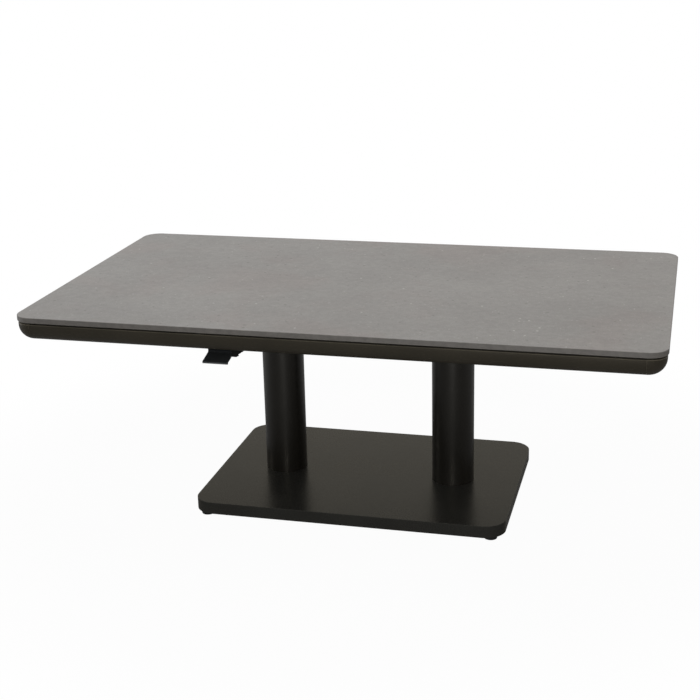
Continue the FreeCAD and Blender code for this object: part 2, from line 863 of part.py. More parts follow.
# Gas springs
def make_gas_springs():
    for side, name in ((-1, "left"), (1, "right")):
        x = side * column_x
        end = s.stand_end_thickness
        solid = cylinder(s.stand_diameter, cover_inside, stand_top)
        spigot = cylinder(s.stand_spigot_diameter, ballast_top, cover_inside)
        tools = [
            cylinder(s.stand_diameter - 2 * s.stand_wall, cover_inside + end, stand_top - end),
            cylinder(s.cylinder_stud_diameter + 2 * s.fit_clearance, stand_top - end, stand_top),
            cylinder(s.bolt_diameter + 2 * s.fit_clearance, ballast_top, cover_inside),
        ]
        finish(carved([solid, spigot], tools), f"gas_spring_stand_{name}", x)

        solid = cylinder(s.cylinder_diameter, stand_top, cylinder_top)
        stud = cylinder(s.cylinder_stud_diameter, stand_top - end, stand_top)
        bore = cylinder(cylinder_bore, stand_top + s.cylinder_end_thickness, cylinder_top)
        finish(carved([solid, stud], [bore]), f"gas_cylinder_{name}", x)

        guide_top = cylinder_top - s.rod_guide_recess
        guide = cylinder(cylinder_bore - 2 * s.fit_clearance, guide_top - s.rod_guide_length, guide_top)
        bore = cylinder(s.rod_diameter + 2 * s.running_clearance, guide_top - s.rod_guide_length, guide_top)
        finish(carved([guide], [bore]), f"rod_guide_{name}", x)

        piston = cylinder(cylinder_bore - 2 * s.running_clearance, piston_bottom,
                          piston_bottom + s.piston_length)
        rod = cylinder(s.rod_diameter, piston_bottom, rod_top)
        bore = cylinder(s.rod_bore, piston_bottom, rod_top)
        finish(carved([piston, rod], [bore]), f"piston_rod_{name}", x)
        finish(cylinder(s.release_pin_diameter, piston_bottom + s.release_pin_foot, pin_top),
               f"release_pin_{name}", x)


def make_rod_nuts():
    """A lock nut on each rod, under the head plate."""
    body = new_body("rod_lock_nuts", z=head_plate_bottom - s.nut_height)
    for side in (-1, 1):
        middle = side * column_x
        outline = new_sketch(body, "XY_Plane")
        hexagon(outline, middle, as_size(0), s.nut_across_corners)
        circles(outline, [(middle, 0)], s.rod_diameter + s.fit_clearance)
        pad(body, outline, s.nut_height)


# Release heads
def make_release_heads():
    """A block over each rod, with a slot for the rocker and a hole for the wire."""
    half_width = s.head_width / 2
    half_slot = s.head_slot_width / 2
    front = s.head_length / 2
    top = cross_bottom + s.head_height
    for side, name in ((-1, "left"), (1, "right")):
        solid = block(-half_width, half_width, -front, front, cross_bottom, top)
        tools = [
            block(-half_slot, half_slot, -s.head_slot_front, s.head_slot_back, slot_floor, top + s.cut_overrun),
            cylinder(s.rod_diameter + 2 * s.fit_clearance, cross_bottom, rod_top + s.fit_clearance),
            lying_cylinder(s.wire_slot, -front, -s.head_slot_front, "y", z=wire_level),
            lying_cylinder(s.pivot_pin_diameter + s.fit_clearance, -half_width, half_width, "x",
                           y=s.rocker_arm, z=pivot_level),
        ]
        finish(carved([solid], tools), f"release_head_{name}", side * column_x)

        hub_reach = s.rocker_thickness / 2
        nose = s.rocker_nose_diameter / 2
        arm = s.rocker_arm
        solids = [
            lying_cylinder(s.rocker_hub_diameter, -hub_reach, hub_reach, "x"),
            lying_cylinder(s.rocker_nose_diameter, -hub_reach, hub_reach, "x", y=-arm),
            block(-hub_reach, hub_reach, -arm, 0, -nose, nose),
            block(-hub_reach, hub_reach, -hub_reach, hub_reach, 0, s.rocker_wire_arm + s.rocker_tip),
        ]
        slot_bottom = s.rocker_wire_arm - s.rocker_tip
        tools = [
            lying_cylinder(s.pivot_pin_diameter + s.fit_clearance, -hub_reach, hub_reach, "x"),
            block(-s.wire_slot / 2, s.wire_slot / 2, -s.rocker_thickness, s.rocker_thickness,
                  slot_bottom, s.rocker_wire_arm + 2 * s.rocker_tip),
        ]
        finish(carved(solids, tools), f"rocker_{name}", side * column_x, arm, pivot_level)

        nipple_y = hub_reach + s.head_nipple_gap + s.nipple_diameter / 2
        wire_end = -(front + s.rocker_arm) + s.release_travel + s.pin_travel_gap
        nipple_reach = s.nipple_length / 2
        solids = [
            lying_cylinder(s.nipple_diameter, -nipple_reach, nipple_reach, "x", y=nipple_y),
            lying_cylinder(s.wire_diameter, wire_end, nipple_y, "y"),
        ]
        finish(joined(solids), f"head_wire_{name}", side * column_x, arm, wire_level)


# Release handle
def along_cable(reach, drop):
    """A place in the handle's own XZ plane: reach along the cables' direction, drop square to it."""
    return reach * rise_cos + drop * rise_sin, reach * rise_sin - drop * rise_cos


def cable_direction():
    """The direction in which both cables leave the handle."""
    return FreeCAD.Vector(rise_cos.value, 0, rise_sin.value)


def make_handle_bracket():
    """Two stepped cheeks, a sloping wall for the adjusters, a top plate and a flange on the front rail."""
    body = new_body("handle_bracket", -handle_reach_x, -handle_y, handle_level)
    half = s.bracket_width / 2
    roof = s.handle_drop
    plate_top = roof + s.bracket_plate
    wall_inner = s.bracket_wall_reach
    wall_outer = wall_inner + s.bracket_cheek
    low_reach = s.bracket_right * rise_cos - s.bracket_depth * rise_sin
    low_drop = s.bracket_right * rise_sin + s.bracket_depth * rise_cos
    step_drop = s.crank_radius + s.adjuster_diameter / 2 + s.fit_clearance + s.bracket_hole_margin
    wall_foot = along_cable(wall_outer, step_drop)
    wall_head_drop = (wall_outer * rise_sin - plate_top) / rise_cos
    outline = new_sketch(body, "XZ_Plane", -half)
    closed_path(outline, [
        (-s.bracket_left, plate_top),
        (-s.bracket_left, -s.bracket_depth),
        along_cable(low_reach, low_drop),
        along_cable(s.bracket_step_reach, low_drop),
        along_cable(s.bracket_step_reach, step_drop),
        wall_foot,
        (along_cable(wall_outer, wall_head_drop)[0], plate_top),
    ])
    pad(body, outline, s.bracket_width)
    cavity = new_sketch(body, "XZ_Plane", half - s.bracket_cheek)
    roof_drop = (wall_inner * rise_sin - roof) / rise_cos
    far = s.bracket_depth + s.cut_overrun
    far_drop = (wall_inner * rise_sin + far) / rise_cos
    closed_path(cavity, [
        (-far, roof),
        (-far, -far),
        (along_cable(wall_inner, far_drop)[0], -far),
        (along_cable(wall_inner, roof_drop)[0], roof),
    ])
    pocket(body, cavity, s.bracket_width - 2 * s.bracket_cheek)
    corners = [(-s.bracket_left, -s.bracket_depth), wall_foot]
    dress(body, "Fillet", "Radius", s.bracket_round, runs_along_y(corners))
    back = handle_y - rail_inner_y
    shelf = new_sketch(body, "XY_Plane", roof)
    rectangle(shelf, -s.bracket_flange_width / 2, s.bracket_flange_width / 2, back, -half)
    pad(body, shelf, s.bracket_plate)
    flange = new_sketch(body, "XY_Plane", roof)
    rectangle(flange, -s.bracket_flange_width / 2, s.bracket_flange_width / 2, back,
              back + s.bracket_flange_thickness)
    pad(body, flange, s.bracket_flange_height)
    pin_hole = new_sketch(body, "XZ_Plane", half)
    circles(pin_hole, [(0, 0)], s.pivot_pin_diameter + s.fit_clearance)
    pocket(body, pin_hole, s.bracket_width)
    screw_holes = new_sketch(body, "XZ_Plane", -back)
    level = screw_level - handle_level
    circles(screw_holes, [(-bracket_screw_reach, level), (bracket_screw_reach, level)], screw_hole)
    pocket(body, screw_holes, s.bracket_flange_thickness)
    for side in (-1, 1):
        cut_adjuster_hole(body, side * s.adjuster_pitch / 2)


def cut_adjuster_hole(body, y):
    """A round hole through the sloping wall, square to it, for one adjuster."""
    feature = body.newObject("PartDesign::SubtractiveCylinder", "AdjusterHole")
    bind(feature, "Radius", s.adjuster_diameter / 2 + s.fit_clearance)
    bind(feature, "Height", 2 * s.bracket_cheek)
    x, z = along_cable(s.bracket_wall_reach - s.bracket_cheek / 2, s.crank_radius)
    feature.Placement.Rotation = FreeCAD.Rotation(Z_AXIS, cable_direction())
    place(feature, x, y, z)


def make_paddle():
    """The release paddle: hub, web, sloping lip with a front bead, and the crank that pulls the wires."""
    body = new_body("release_paddle", -handle_reach_x, -handle_y, handle_level)
    half = s.paddle_thickness / 2
    hub_half = s.crank_width / 2
    web = new_sketch(body, "XZ_Plane", -half)
    closed_path(web, [
        (0, s.paddle_web_top),
        (-s.paddle_reach, -s.paddle_web_tip),
        (-s.paddle_reach, -s.paddle_web_bottom),
        (-s.paddle_lip_start, -s.paddle_web_bottom),
        (0, -s.paddle_web_top),
    ])
    pad(body, web, s.paddle_thickness)
    lip = new_sketch(body, "YZ_Plane", -s.paddle_reach)
    front = -s.paddle_lip_depth
    slope = (s.paddle_lip_drop - s.paddle_bend_drop) / (s.paddle_lip_depth - half)
    bead = s.paddle_bead
    closed_path(lip, [
        (half, -s.paddle_web_tip - half),
        (-half, -s.paddle_web_tip - half),
        (-half, -s.paddle_bend_drop),
        (front, -s.paddle_lip_drop),
        (front, -s.paddle_lip_drop - bead),
        (front + bead, -s.paddle_lip_drop - bead),
        (front + bead, -s.paddle_lip_drop - s.paddle_thickness + bead * slope),
        (half, -s.paddle_bend_drop - s.paddle_thickness),
    ])
    pad(body, lip, s.paddle_reach - s.paddle_lip_start)
    dress(body, "Fillet", "Radius", s.paddle_bend_radius, runs_along_x(-half, -s.paddle_bend_drop))
    outer_bend = runs_along_x(half, -s.paddle_bend_drop - s.paddle_thickness)
    dress(body, "Fillet", "Radius", s.paddle_bend_radius, outer_bend)
    hub = new_sketch(body, "XZ_Plane", -hub_half)
    circles(hub, [(0, 0)], s.paddle_hub_diameter)
    pad(body, hub, s.crank_width)
    crank = new_sketch(body, "XZ_Plane", -hub_half)
    half_crank = s.crank_thickness / 2
    tip = s.crank_radius + s.crank_tip
    closed_path(crank, [
        along_cable(-half_crank, 0),
        along_cable(-half_crank, tip),
        along_cable(half_crank, tip),
        along_cable(half_crank, 0),
    ])
    pad(body, crank, s.crank_width)
    for side in (-1, 1):
        slot = new_sketch(body, "XZ_Plane", side * s.adjuster_pitch / 2 + s.wire_slot / 2)
        low = s.crank_radius - s.wire_slot
        high = tip + s.wire_slot
        closed_path(slot, [
            along_cable(-s.crank_thickness, low),
            along_cable(-s.crank_thickness, high),
            along_cable(s.crank_thickness, high),
            along_cable(s.crank_thickness, low),
        ])
        pocket(body, slot, s.wire_slot)
    bore = new_sketch(body, "XZ_Plane", hub_half)
    circles(bore, [(0, 0)], s.pivot_pin_diameter + s.fit_clearance)
    pocket(body, bore, s.crank_width)


# Small pieces that repeat in many places, as plain shapes
def round_bar(start, direction, length, radius):
    """A cylinder from a point along a direction."""
    return Part.makeCylinder(radius, length, start, direction)


def hexagon_bar(start, direction, across, length, corners):
    """A six-sided bar from a point along a direction, with two corners on a line along across."""
    beside = direction.cross(across)
    sides = 6
    points = []
    for step in range(sides + 1):
        angle = 2 * math.pi * step / sides
        points.append(start + (across * math.cos(angle) + beside * math.sin(angle)) * (corners / 2))
    return Part.Face(Part.makePolygon(points)).extrude(direction * length)


def group(label, solids):
    """One node that holds several separate solids."""
    item = document.addObject("Part::Feature", label)
    item.Shape = Part.makeCompound(solids)
    return finish(item, label)


def vector(x, y, z):
    return FreeCAD.Vector(float(x), float(y), float(z))


def frame_screw(seat, direction):
    """A button head screw whose head sits at the seat and whose shank points along the direction."""
    head_radius = float(s.screw_head_diameter) / 2
    head_height = float(s.screw_head_height)
    crown_share = 0.7
    dome = Part.makeCone(head_radius * crown_share, head_radius, head_height / 2,
                         seat - direction * head_height, direction)
    lower = Part.makeCylinder(head_radius, head_height / 2, seat - direction * head_height / 2, direction)
    head = dome.fuse(lower)
    shank = Part.makeCylinder(float(s.screw_diameter) / 2, float(s.screw_length), seat, direction)
    socket = hexagon_bar(seat - direction * head_height, direction, Z_AXIS, float(s.screw_socket_depth),
                         float(s.screw_socket_corners))
    return head.fuse(shank).cut(socket).removeSplitter()


def make_frame_screws():
    """All screws of the frame, their cleats and the handle bracket: one node of like screws."""
    seats = []
    level = float(screw_level)
    inner_x = float(frame_half_length - rail_depth)
    inner_y = float(rail_inner_y)
    along_x = float(corner_screw_along(frame_half_length))
    along_y = float(corner_screw_along(frame_half_width))
    for side_x in (-1, 1):
        for side_y in (-1, 1):
            seats.append((vector(side_x * along_x, side_y * inner_y, level), Y_AXIS * side_y))
            seats.append((vector(side_x * inner_x, side_y * along_y, level), X_AXIS * side_x))
    for corner, along, out in cleat_corners():
        thickness = float(s.cleat_thickness)
        reach = float(cleat_screw_reach)
        corner = vector(corner.x, corner.y, level)
        seats.append((corner + along * reach + out * thickness, -out))
        seats.append((corner + out * reach + along * thickness, -along))
    flange_y = float(s.bracket_flange_thickness) - inner_y
    for side in (-1, 1):
        x = side * float(bracket_screw_reach) - float(handle_reach_x)
        seats.append((vector(x, flange_y, level), -Y_AXIS))
    group("frame_screws", [frame_screw(seat, direction) for seat, direction in seats])


def cleat_corners():
    """The inner corner of each cleat, the way its member runs and the way the wall runs."""
    corners = []
    half = float(s.cross_tube_width) / 2
    for side in (-1, 1):
        for offset in (-1, 1):
            x = side * float(column_x) + offset * (float(tube_offset) + half)
            for end in (-1, 1):
                corners.append((vector(x, end * float(rail_inner_y), 0), Y_AXIS * -end, X_AXIS * offset))
        for edge in (-1, 1):
            corner = vector(side * float(spine_reach), edge * half, 0)
            corners.append((corner, X_AXIS * -side, Y_AXIS * edge))
    return corners


def box_between(first, second):
    """A box with two opposite corners."""
    low = vector(min(first.x, second.x), min(first.y, second.y), min(first.z, second.z))
    high = vector(max(first.x, second.x), max(first.y, second.y), max(first.z, second.z))
    size = high - low
    return Part.makeBox(size.x, size.y, size.z, low)


def make_cleats():
    """Angle cleats that hold the cross tubes to the rails and the spine to the tubes."""
    low = Z_AXIS * float(cross_bottom + s.cleat_margin)
    high = Z_AXIS * float(frame_top - s.cleat_margin)
    leg = float(s.cleat_leg)
    thickness = float(s.cleat_thickness)
    level = Z_AXIS * float(screw_level)
    cleats = []
    for corner, along, out in cleat_corners():
        first = box_between(corner + low, corner + high + along * leg + out * thickness)
        second = box_between(corner + low, corner + high + out * leg + along * thickness)
        cleat = first.fuse(second).removeSplitter()
        for a, b in ((along, out), (out, along)):
            start = corner + level + a * float(cleat_screw_reach)
            cleat = cleat.cut(round_bar(start, b, thickness, float(screw_hole) / 2))
        cleats.append(cleat)
    group("frame_cleats", cleats)


# Bolts that stand upright
def make_bolts(label, places, head_bottom, head_height, head_diameter, shank_top, shank_diameter,
               socket_corners, socket_depth):
    """A row of upright bolts with their heads below."""
    body = new_body(label, z=head_bottom)
    heads = new_sketch(body, "XY_Plane")
    circles(heads, places, head_diameter)
    pad(body, heads, head_height)
    shanks = new_sketch(body, "XY_Plane", head_height)
    circles(shanks, places, shank_diameter)
    pad(body, shanks, shank_top - head_bottom - head_height)
    sockets = new_sketch(body, "XY_Plane")
    for x, y in places:
        hexagon(sockets, as_size(x), as_size(y), socket_corners)
    pocket(body, sockets, socket_depth, True)


def make_upright_bolts():
    feet = []
    heads = []
    for side in (-1, 1):
        middle = side * column_x
        feet.append((middle, 0))
        feet += [(middle + x, y) for x, y in flange_bolt_places()]
        for offset in (-tube_offset, tube_offset):
            heads += [(middle + offset, end * s.head_bolt_spacing / 2) for end in (-1, 1)]
    make_bolts("column_foot_bolts", feet, ballast_bottom - s.bolt_head_height, s.bolt_head_height,
               s.bolt_head_diameter, cover_inside, s.bolt_diameter,
               s.bolt_socket_corners, s.bolt_socket_depth)
    make_bolts("cover_screws", cover_screw_places(), ballast_bottom - s.cover_screw_head_height,
               s.cover_screw_head_height, s.cover_screw_head, cover_inside, s.cover_screw_diameter,
               s.cover_screw_socket_corners, s.cover_screw_socket_depth)
    make_bolts("head_plate_bolts", heads, head_plate_bottom - s.bolt_head_height, s.bolt_head_height,
               s.bolt_head_diameter, cross_bottom + 2 * s.cross_tube_wall, s.bolt_diameter,
               s.bolt_socket_corners, s.bolt_socket_depth)


def make_pivot_pins():
    """The paddle's pin and the two rockers' pins."""
    half_bracket = s.bracket_width / 2
    pins = [lying_cylinder(s.pivot_pin_diameter, -handle_y - half_bracket, half_bracket - handle_y, "y",
                           x=-handle_reach_x, z=handle_level)]
    half_head = s.head_width / 2
    for side in (-1, 1):
        middle = side * column_x
        pins.append(lying_cylinder(s.pivot_pin_diameter, middle - half_head, middle + half_head, "x",
                                   y=s.rocker_arm, z=pivot_level))
    compound = document.addObject("Part::Compound", "Pins")
    compound.Links = pins
    finish(compound, "pivot_pins")


# Adjusters, wires and cables
def handle_point(reach, drop, y):
    """A place on the handle in the table's frame."""
    x, z = along_cable(reach, drop)
    return vector(x - handle_reach_x, y - handle_y, z + handle_level)


def make_adjusters():
    """A hollow screw with a lock nut and a barrel for each cable."""
    direction = cable_direction()
    wall_outer = s.bracket_wall_reach + s.bracket_cheek
    start = wall_outer - 2 * s.bracket_cheek
    solids = []
    for side in (-1, 1):
        y = side * s.adjuster_pitch / 2
        screw = round_bar(handle_point(start, s.crank_radius, y), direction, float(s.adjuster_length),
                          float(s.adjuster_diameter) / 2)
        nut = hexagon_bar(handle_point(wall_outer, s.crank_radius, y), direction, Y_AXIS,
                          float(s.adjuster_nut_thickness), float(s.adjuster_nut_corners))
        barrel_start = wall_outer + s.adjuster_nut_thickness + s.foot_gap
        barrel = round_bar(handle_point(barrel_start, s.crank_radius, y), direction,
                           float(s.adjuster_barrel_length), float(s.adjuster_barrel_diameter) / 2)
        bore = round_bar(handle_point(start, s.crank_radius, y), direction, float(s.adjuster_length),
                         float(s.adjuster_bore) / 2)
        solids.append(screw.fuse(nut).fuse(barrel).cut(bore).removeSplitter())
    group("cable_adjusters", solids)


def make_handle_wires():
    """The wire ends at the paddle, each with its nipple behind the crank."""
    direction = cable_direction()
    back = -(s.crank_thickness / 2 + s.handle_nipple_gap + s.nipple_diameter / 2)
    reach = s.bracket_wall_reach - s.bracket_cheek + s.adjuster_length - s.wire_end_gap
    half = s.nipple_length / 2
    solids = []
    for side in (-1, 1):
        y = side * s.adjuster_pitch / 2
        nipple = Part.makeCylinder(float(s.nipple_diameter) / 2, float(s.nipple_length),
                                   handle_point(back, s.crank_radius, y - half), Y_AXIS)
        wire = round_bar(handle_point(back, s.crank_radius, y), direction, float(reach - back),
                         float(s.wire_diameter) / 2)
        solids.append(nipple.fuse(wire).removeSplitter())
    group("handle_wires", solids)


# Cable routes. Each corner has three shares: across, from the left column to the route's far side,
# back, from the clip line at the front rail to the release head, and up, from the level under the
# cross tubes to the level under the slab. The word says what holds the run that begins there.
LEFT_ROUTE_SHARES = [
    (0.623, 0.103, 0.0, "free"),
    (0.886, 0.164, 0.0, "free"),
    (1.0, 0.274, 0.0, "free"),
    (0.886, 0.38, -0.012, "free"),
    (0.623, 0.441, -0.012, "free"),
    (0.342, 0.48, 0.046, "free"),
    (0.132, 0.535, 0.335, "free"),
    (0.018, 0.614, 0.725, "free"),
    (0.0, 0.699, 1.0, "slab"),
    (0.0, 0.809, 1.0, "free"),
    (0.0, 0.906, 0.899, "free"),
]
RIGHT_ROUTE_SHARES = [
    (0.164, 0.021, 0.017, "free"),
    (0.242, 0.0, 0.0, "rail"),
    (0.338, 0.0, 0.0, "free"),
    (0.423, 0.0, -0.098, "free"),
    (0.512, 0.0, 0.0, "rail"),
    (0.609, 0.0, 0.0, "free"),
    (0.688, 0.0, -0.087, "free"),
    (0.773, 0.012, -0.012, "free"),
    (0.858, 0.064, 0.0, "free"),
    (0.923, 0.152, 0.017, "free"),
    (0.969, 0.261, 0.162, "free"),
    (0.993, 0.383, 0.48, "free"),
    (1.0, 0.511, 1.0, "slab"),
    (1.0, 0.632, 1.0, "free"),
    (1.0, 0.772, 0.971, "free"),
    (1.0, 0.906, 0.899, "free"),
]
BEND_SHARE = 0.45


def cable_points(route_shares, far_x, side, y_side):
    """A cable's corners, from its adjuster by its route to its release head."""
    start_reach = s.bracket_wall_reach - s.bracket_cheek + s.adjuster_length
    start = handle_point(start_reach, s.crank_radius, y_side * s.adjuster_pitch / 2)
    points = [start, start + cable_direction() * float(s.cable_straight_run)]
    near = vector(-column_x, s.rail_clip_reach - rail_inner_y, cross_bottom - s.cable_drop)
    far = vector(far_x, -s.head_length / 2, slab_bottom - s.slab_clip_reach)
    for across, back, up, _ in route_shares:
        points.append(vector(near.x + (far.x - near.x) * across, near.y + (far.y - near.y) * back,
                             near.z + (far.z - near.z) * up))
    return points + [vector(side * column_x, -s.head_length / 2, wire_level)]


def make_cable(label, points):
    """A tube of straight runs joined by tangent arcs."""
    diameter = float(s.cable_diameter)
    edges = []
    here = points[0]
    radii = []
    for before, point, after in zip(points, points[1:], points[2:]):
        way_in = (point - before).normalize()
        way_out = (after - point).normalize()
        turn = way_in.getAngle(way_out)
        trim = BEND_SHARE * min((point - before).Length, (after - point).Length)
        radius = trim / math.tan(turn / 2)
        radii.append(radius)
        arc_start = point - way_in * trim
        arc_end = point + way_out * trim
        inward = (way_out - way_in).normalize()
        middle_gap = radius / math.cos(turn / 2) - radius
        edges.append(Part.LineSegment(here, arc_start).toShape())
        edges.append(Part.Arc(arc_start, point + inward * middle_gap, arc_end).toShape())
        here = arc_end
    edges.append(Part.LineSegment(here, points[-1]).toShape())
    path = Part.Wire(edges)
    first = (points[1] - points[0]).normalize()
    section = Part.Wire([Part.makeCircle(diameter / 2, points[0], first)])
    tube = path.makePipeShell([section], True, False)
    expected = math.pi * diameter ** 2 / 4 * path.Length
    print(label, "length", round(path.Length, 1), "smallest radius", round(min(radii), 1),
          "volume share", round(tube.Volume / expected, 4))
    item = document.addObject("Part::Feature", label)
    item.Shape = tube
    finish(item, label)


def clip(start, end, backing, gap):
    """A saddle round one straight run of a cable, reaching to the surface behind it."""
    way = (end - start).normalize()
    half_length = float(s.clip_length) / 2
    reach = float(s.cable_diameter) / 2 + float(s.clip_wall)
    middle = (start + end) * 0.5
    across = way.cross(backing)
    low = middle - way * half_length - across * reach - backing * reach
    high = middle + way * half_length + across * reach + backing * gap
    solid = box_between(low, high)
    hole = round_bar(middle - way * half_length, way, 2 * half_length,
                     float(s.cable_diameter) / 2 + float(s.fit_clearance))
    return solid.cut(hole)


def make_cables():
    """Both cables and the clips that hold them to the front rail and under the slab."""
    clips = []
    for label, route_shares, far_x, side in (
            ("cable_left", LEFT_ROUTE_SHARES, s.cable_loop_reach - column_x, -1),
            ("cable_right", RIGHT_ROUTE_SHARES, column_x, 1)):
        points = cable_points(route_shares, far_x, side, -side)
        make_cable(label, points)
        routed = points[-len(route_shares) - 1:]
        for first, after, (_, _, _, held_by) in zip(routed, routed[1:], route_shares):
            if held_by == "rail":
                clips.append(clip(first, after, -Y_AXIS, float(s.rail_clip_reach)))
            elif held_by == "slab":
                clips.append(clip(first, after, Z_AXIS, float(s.slab_clip_reach)))
    group("cable_clips", clips)


def check_and_export():
    """Recompute, look for failed objects and bad shapes, then write one file per piece."""
    document.recompute()
    for item in document.Objects:
        if "Invalid" in item.State or "Error" in item.State:
            raise RuntimeError(f"{item.Name} {item.Label} failed: {item.State}")
    for item in subparts:
        shape = item.Shape
        if shape.isNull() or not shape.isValid() or not shape.Solids:
            raise RuntimeError(f"{item.Label} has no valid solid")
    for item in subparts:
        item.Shape.exportStep(os.path.join("parts", item.Label + ".step"))
    print(len(subparts), "pieces written")


make_slab()
make_gasket()
make_frame()
make_cross_tubes()
make_spine()
make_columns()
make_guides()
make_base_cover()
make_ballast()
make_feet()
make_gas_springs()
make_rod_nuts()
make_release_heads()
make_handle_bracket()
make_paddle()
make_frame_screws()
make_cleats()
make_upright_bolts()
make_pivot_pins()
make_adjusters()
make_handle_wires()
make_cables()
check_and_export()
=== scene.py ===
"""Looks of the adjustable lounge table: finishes, small fittings, floor, light and camera.

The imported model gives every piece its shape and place. Lengths are in metres, colours are linear.
"""

import json
import math

import bmesh
import bpy
from mathutils import Matrix, Vector


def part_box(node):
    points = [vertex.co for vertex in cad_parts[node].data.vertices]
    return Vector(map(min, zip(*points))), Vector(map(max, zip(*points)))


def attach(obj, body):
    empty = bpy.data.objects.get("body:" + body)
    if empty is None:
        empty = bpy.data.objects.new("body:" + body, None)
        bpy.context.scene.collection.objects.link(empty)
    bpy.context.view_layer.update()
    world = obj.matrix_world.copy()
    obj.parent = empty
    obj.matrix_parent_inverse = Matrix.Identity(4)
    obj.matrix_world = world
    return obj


WHITE = (1.0, 1.0, 1.0, 1.0)

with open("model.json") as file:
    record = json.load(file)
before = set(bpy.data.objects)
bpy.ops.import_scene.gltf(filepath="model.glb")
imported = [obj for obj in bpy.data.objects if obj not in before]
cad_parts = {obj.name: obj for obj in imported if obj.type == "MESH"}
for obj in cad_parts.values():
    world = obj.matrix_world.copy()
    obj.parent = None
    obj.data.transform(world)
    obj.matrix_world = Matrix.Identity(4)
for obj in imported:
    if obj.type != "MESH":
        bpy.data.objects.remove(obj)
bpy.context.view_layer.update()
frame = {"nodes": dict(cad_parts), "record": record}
nodes = frame["nodes"]


def put_in_scene(name, data):
    """Makes an object of a mesh, a lamp or a camera, and adds it to the scene."""
    made = bpy.data.objects.new(name, data)
    bpy.context.scene.collection.objects.link(made)
    return made


# ---------------------------------------------------------------- camera

LENS = 70.033
SENSOR = 36.0
NEAREST_SEEN = 0.05
FURTHEST_SEEN = 60.0
CAMERA_PLACE = (0.73072194, -2.96676028, 1.35386358)
CAMERA_RIGHT = (0.9693776, 0.2445903, -0.0219685)
CAMERA_UP = (-0.0564155, 0.3088657, 0.9494310)
CAMERA_BACK = (0.2390070, -0.9191178, 0.3132062)


def make_camera():
    """Stands where the photograph was taken from."""
    lens = bpy.data.cameras.new("camera")
    lens.lens = LENS
    lens.sensor_width = SENSOR
    lens.clip_start = NEAREST_SEEN
    lens.clip_end = FURTHEST_SEEN
    camera = put_in_scene("camera", lens)
    columns = (CAMERA_RIGHT, CAMERA_UP, CAMERA_BACK, CAMERA_PLACE)
    turned = Matrix([[column[row] for column in columns] for row in range(3)])
    camera.matrix_world = turned.to_4x4()
    bpy.context.scene.camera = camera


# ---------------------------------------------------------------- node work

# The colour sockets of a Mix node, which shares its names with plain numbers.
MIX_SHARE, MIX_FIRST, MIX_SECOND, MIX_RESULT = 0, 6, 7, 2


class Bench:
    """One node tree, with short ways to set nodes out and wire them."""

    def __init__(self, tree):
        self.tree = tree

    def node(self, kind, feeds=(), **settings):
        """A new node. settings are the node's own, feeds are for its sockets."""
        made = self.tree.nodes.new(kind)
        for name, value in settings.items():
            setattr(made, name, value)
        for socket, value in dict(feeds).items():
            self.feed(made.inputs[socket], value)
        return made

    def feed(self, socket, value):
        """Wires another node's output to the socket, or sets a plain value on it."""
        if isinstance(value, bpy.types.NodeSocket):
            self.tree.links.new(value, socket)
        else:
            socket.default_value = value

    def work_out(self, how, first, second):
        """A Math node: how is its operation's name."""
        return self.node("ShaderNodeMath", {0: first, 1: second}, operation=how).outputs[0]

    def times(self, product, *factors):
        for factor in factors:
            product = self.work_out("MULTIPLY", product, factor)
        return product

    def weighted_sum(self, values, weights):
        """The values added up, each times its weight."""
        weighted = [self.times(value, weight) for value, weight in zip(values, weights)]
        total = weighted.pop()
        for value in reversed(weighted):
            total = self.work_out("ADD", value, total)
        return total

    def stretch(self, value, low, high, to_low=0.0, to_high=1.0):
        """Runs value from low..high to to_low..to_high, smoothly and clamped."""
        feeds = {"Value": value, "From Min": low, "From Max": high,
                 "To Min": to_low, "To Max": to_high}
        return self.node("ShaderNodeMapRange", feeds,
                         interpolation_type="SMOOTHSTEP").outputs["Result"]

    def tint(self, share, first, second, how="MIX"):
        """A colour between first and second, or first changed by second in the way how names."""
        feeds = {MIX_SHARE: share, MIX_FIRST: first, MIX_SECOND: second}
        return self.node("ShaderNodeMix", feeds, data_type="RGBA",
                         blend_type=how).outputs[MIX_RESULT]

    def noise(self, place, scale, detail=2.0, roughness=0.5, warp=0.0):
        feeds = {"Vector": place, "Scale": scale, "Detail": detail, "Roughness": roughness,
                 "Distortion": warp}
        return self.node("ShaderNodeTexNoise", feeds).outputs["Fac"]

    def place(self):
        """The point on the piece, in metres, that goes with the piece when it moves."""
        return self.node("ShaderNodeTexCoord").outputs["Object"]

    def upward(self, vector):
        """A vector's upward part."""
        return self.node("ShaderNodeSeparateXYZ", {0: vector}).outputs["Z"]

    def facing_up(self):
        """How far the surface faces up on the piece, from -1 for down to 1 for up."""
        return self.upward(self.node("ShaderNodeTexCoord").outputs["Normal"])

    def mixed_shaders(self, share, first, second):
        return self.node("ShaderNodeMixShader", {0: share, 1: first, 2: second}).outputs[0]


def effect(name, takes, gives):
    """A shader node group. takes has its inputs with their first values, gives its outputs' names.
    Returns its bench, its inputs and its outputs."""
    tree = bpy.data.node_groups.new(name, "ShaderNodeTree")
    for socket, value in takes.items():
        kind = "NodeSocketVector" if isinstance(value, tuple) else "NodeSocketFloat"
        made = tree.interface.new_socket(name=socket, in_out="INPUT", socket_type=kind)
        made.default_value = value
    for socket in gives:
        tree.interface.new_socket(name=socket, in_out="OUTPUT", socket_type="NodeSocketFloat")
    bench = Bench(tree)
    return bench, bench.node("NodeGroupInput").outputs, bench.node("NodeGroupOutput").inputs


# ---------------------------------------------------------------- effects
#
# A RANGE is what a stretch runs from and, where four numbers are given, also what it runs to.

EDGE_SAMPLES = 6
EDGE_RANGE = (0.995, 0.86)
EDGE_PATCHES = dict(detail=4.0, roughness=0.65)
EDGE_PATCH_RANGE = (0.36, 0.62, 0.25, 1.0)


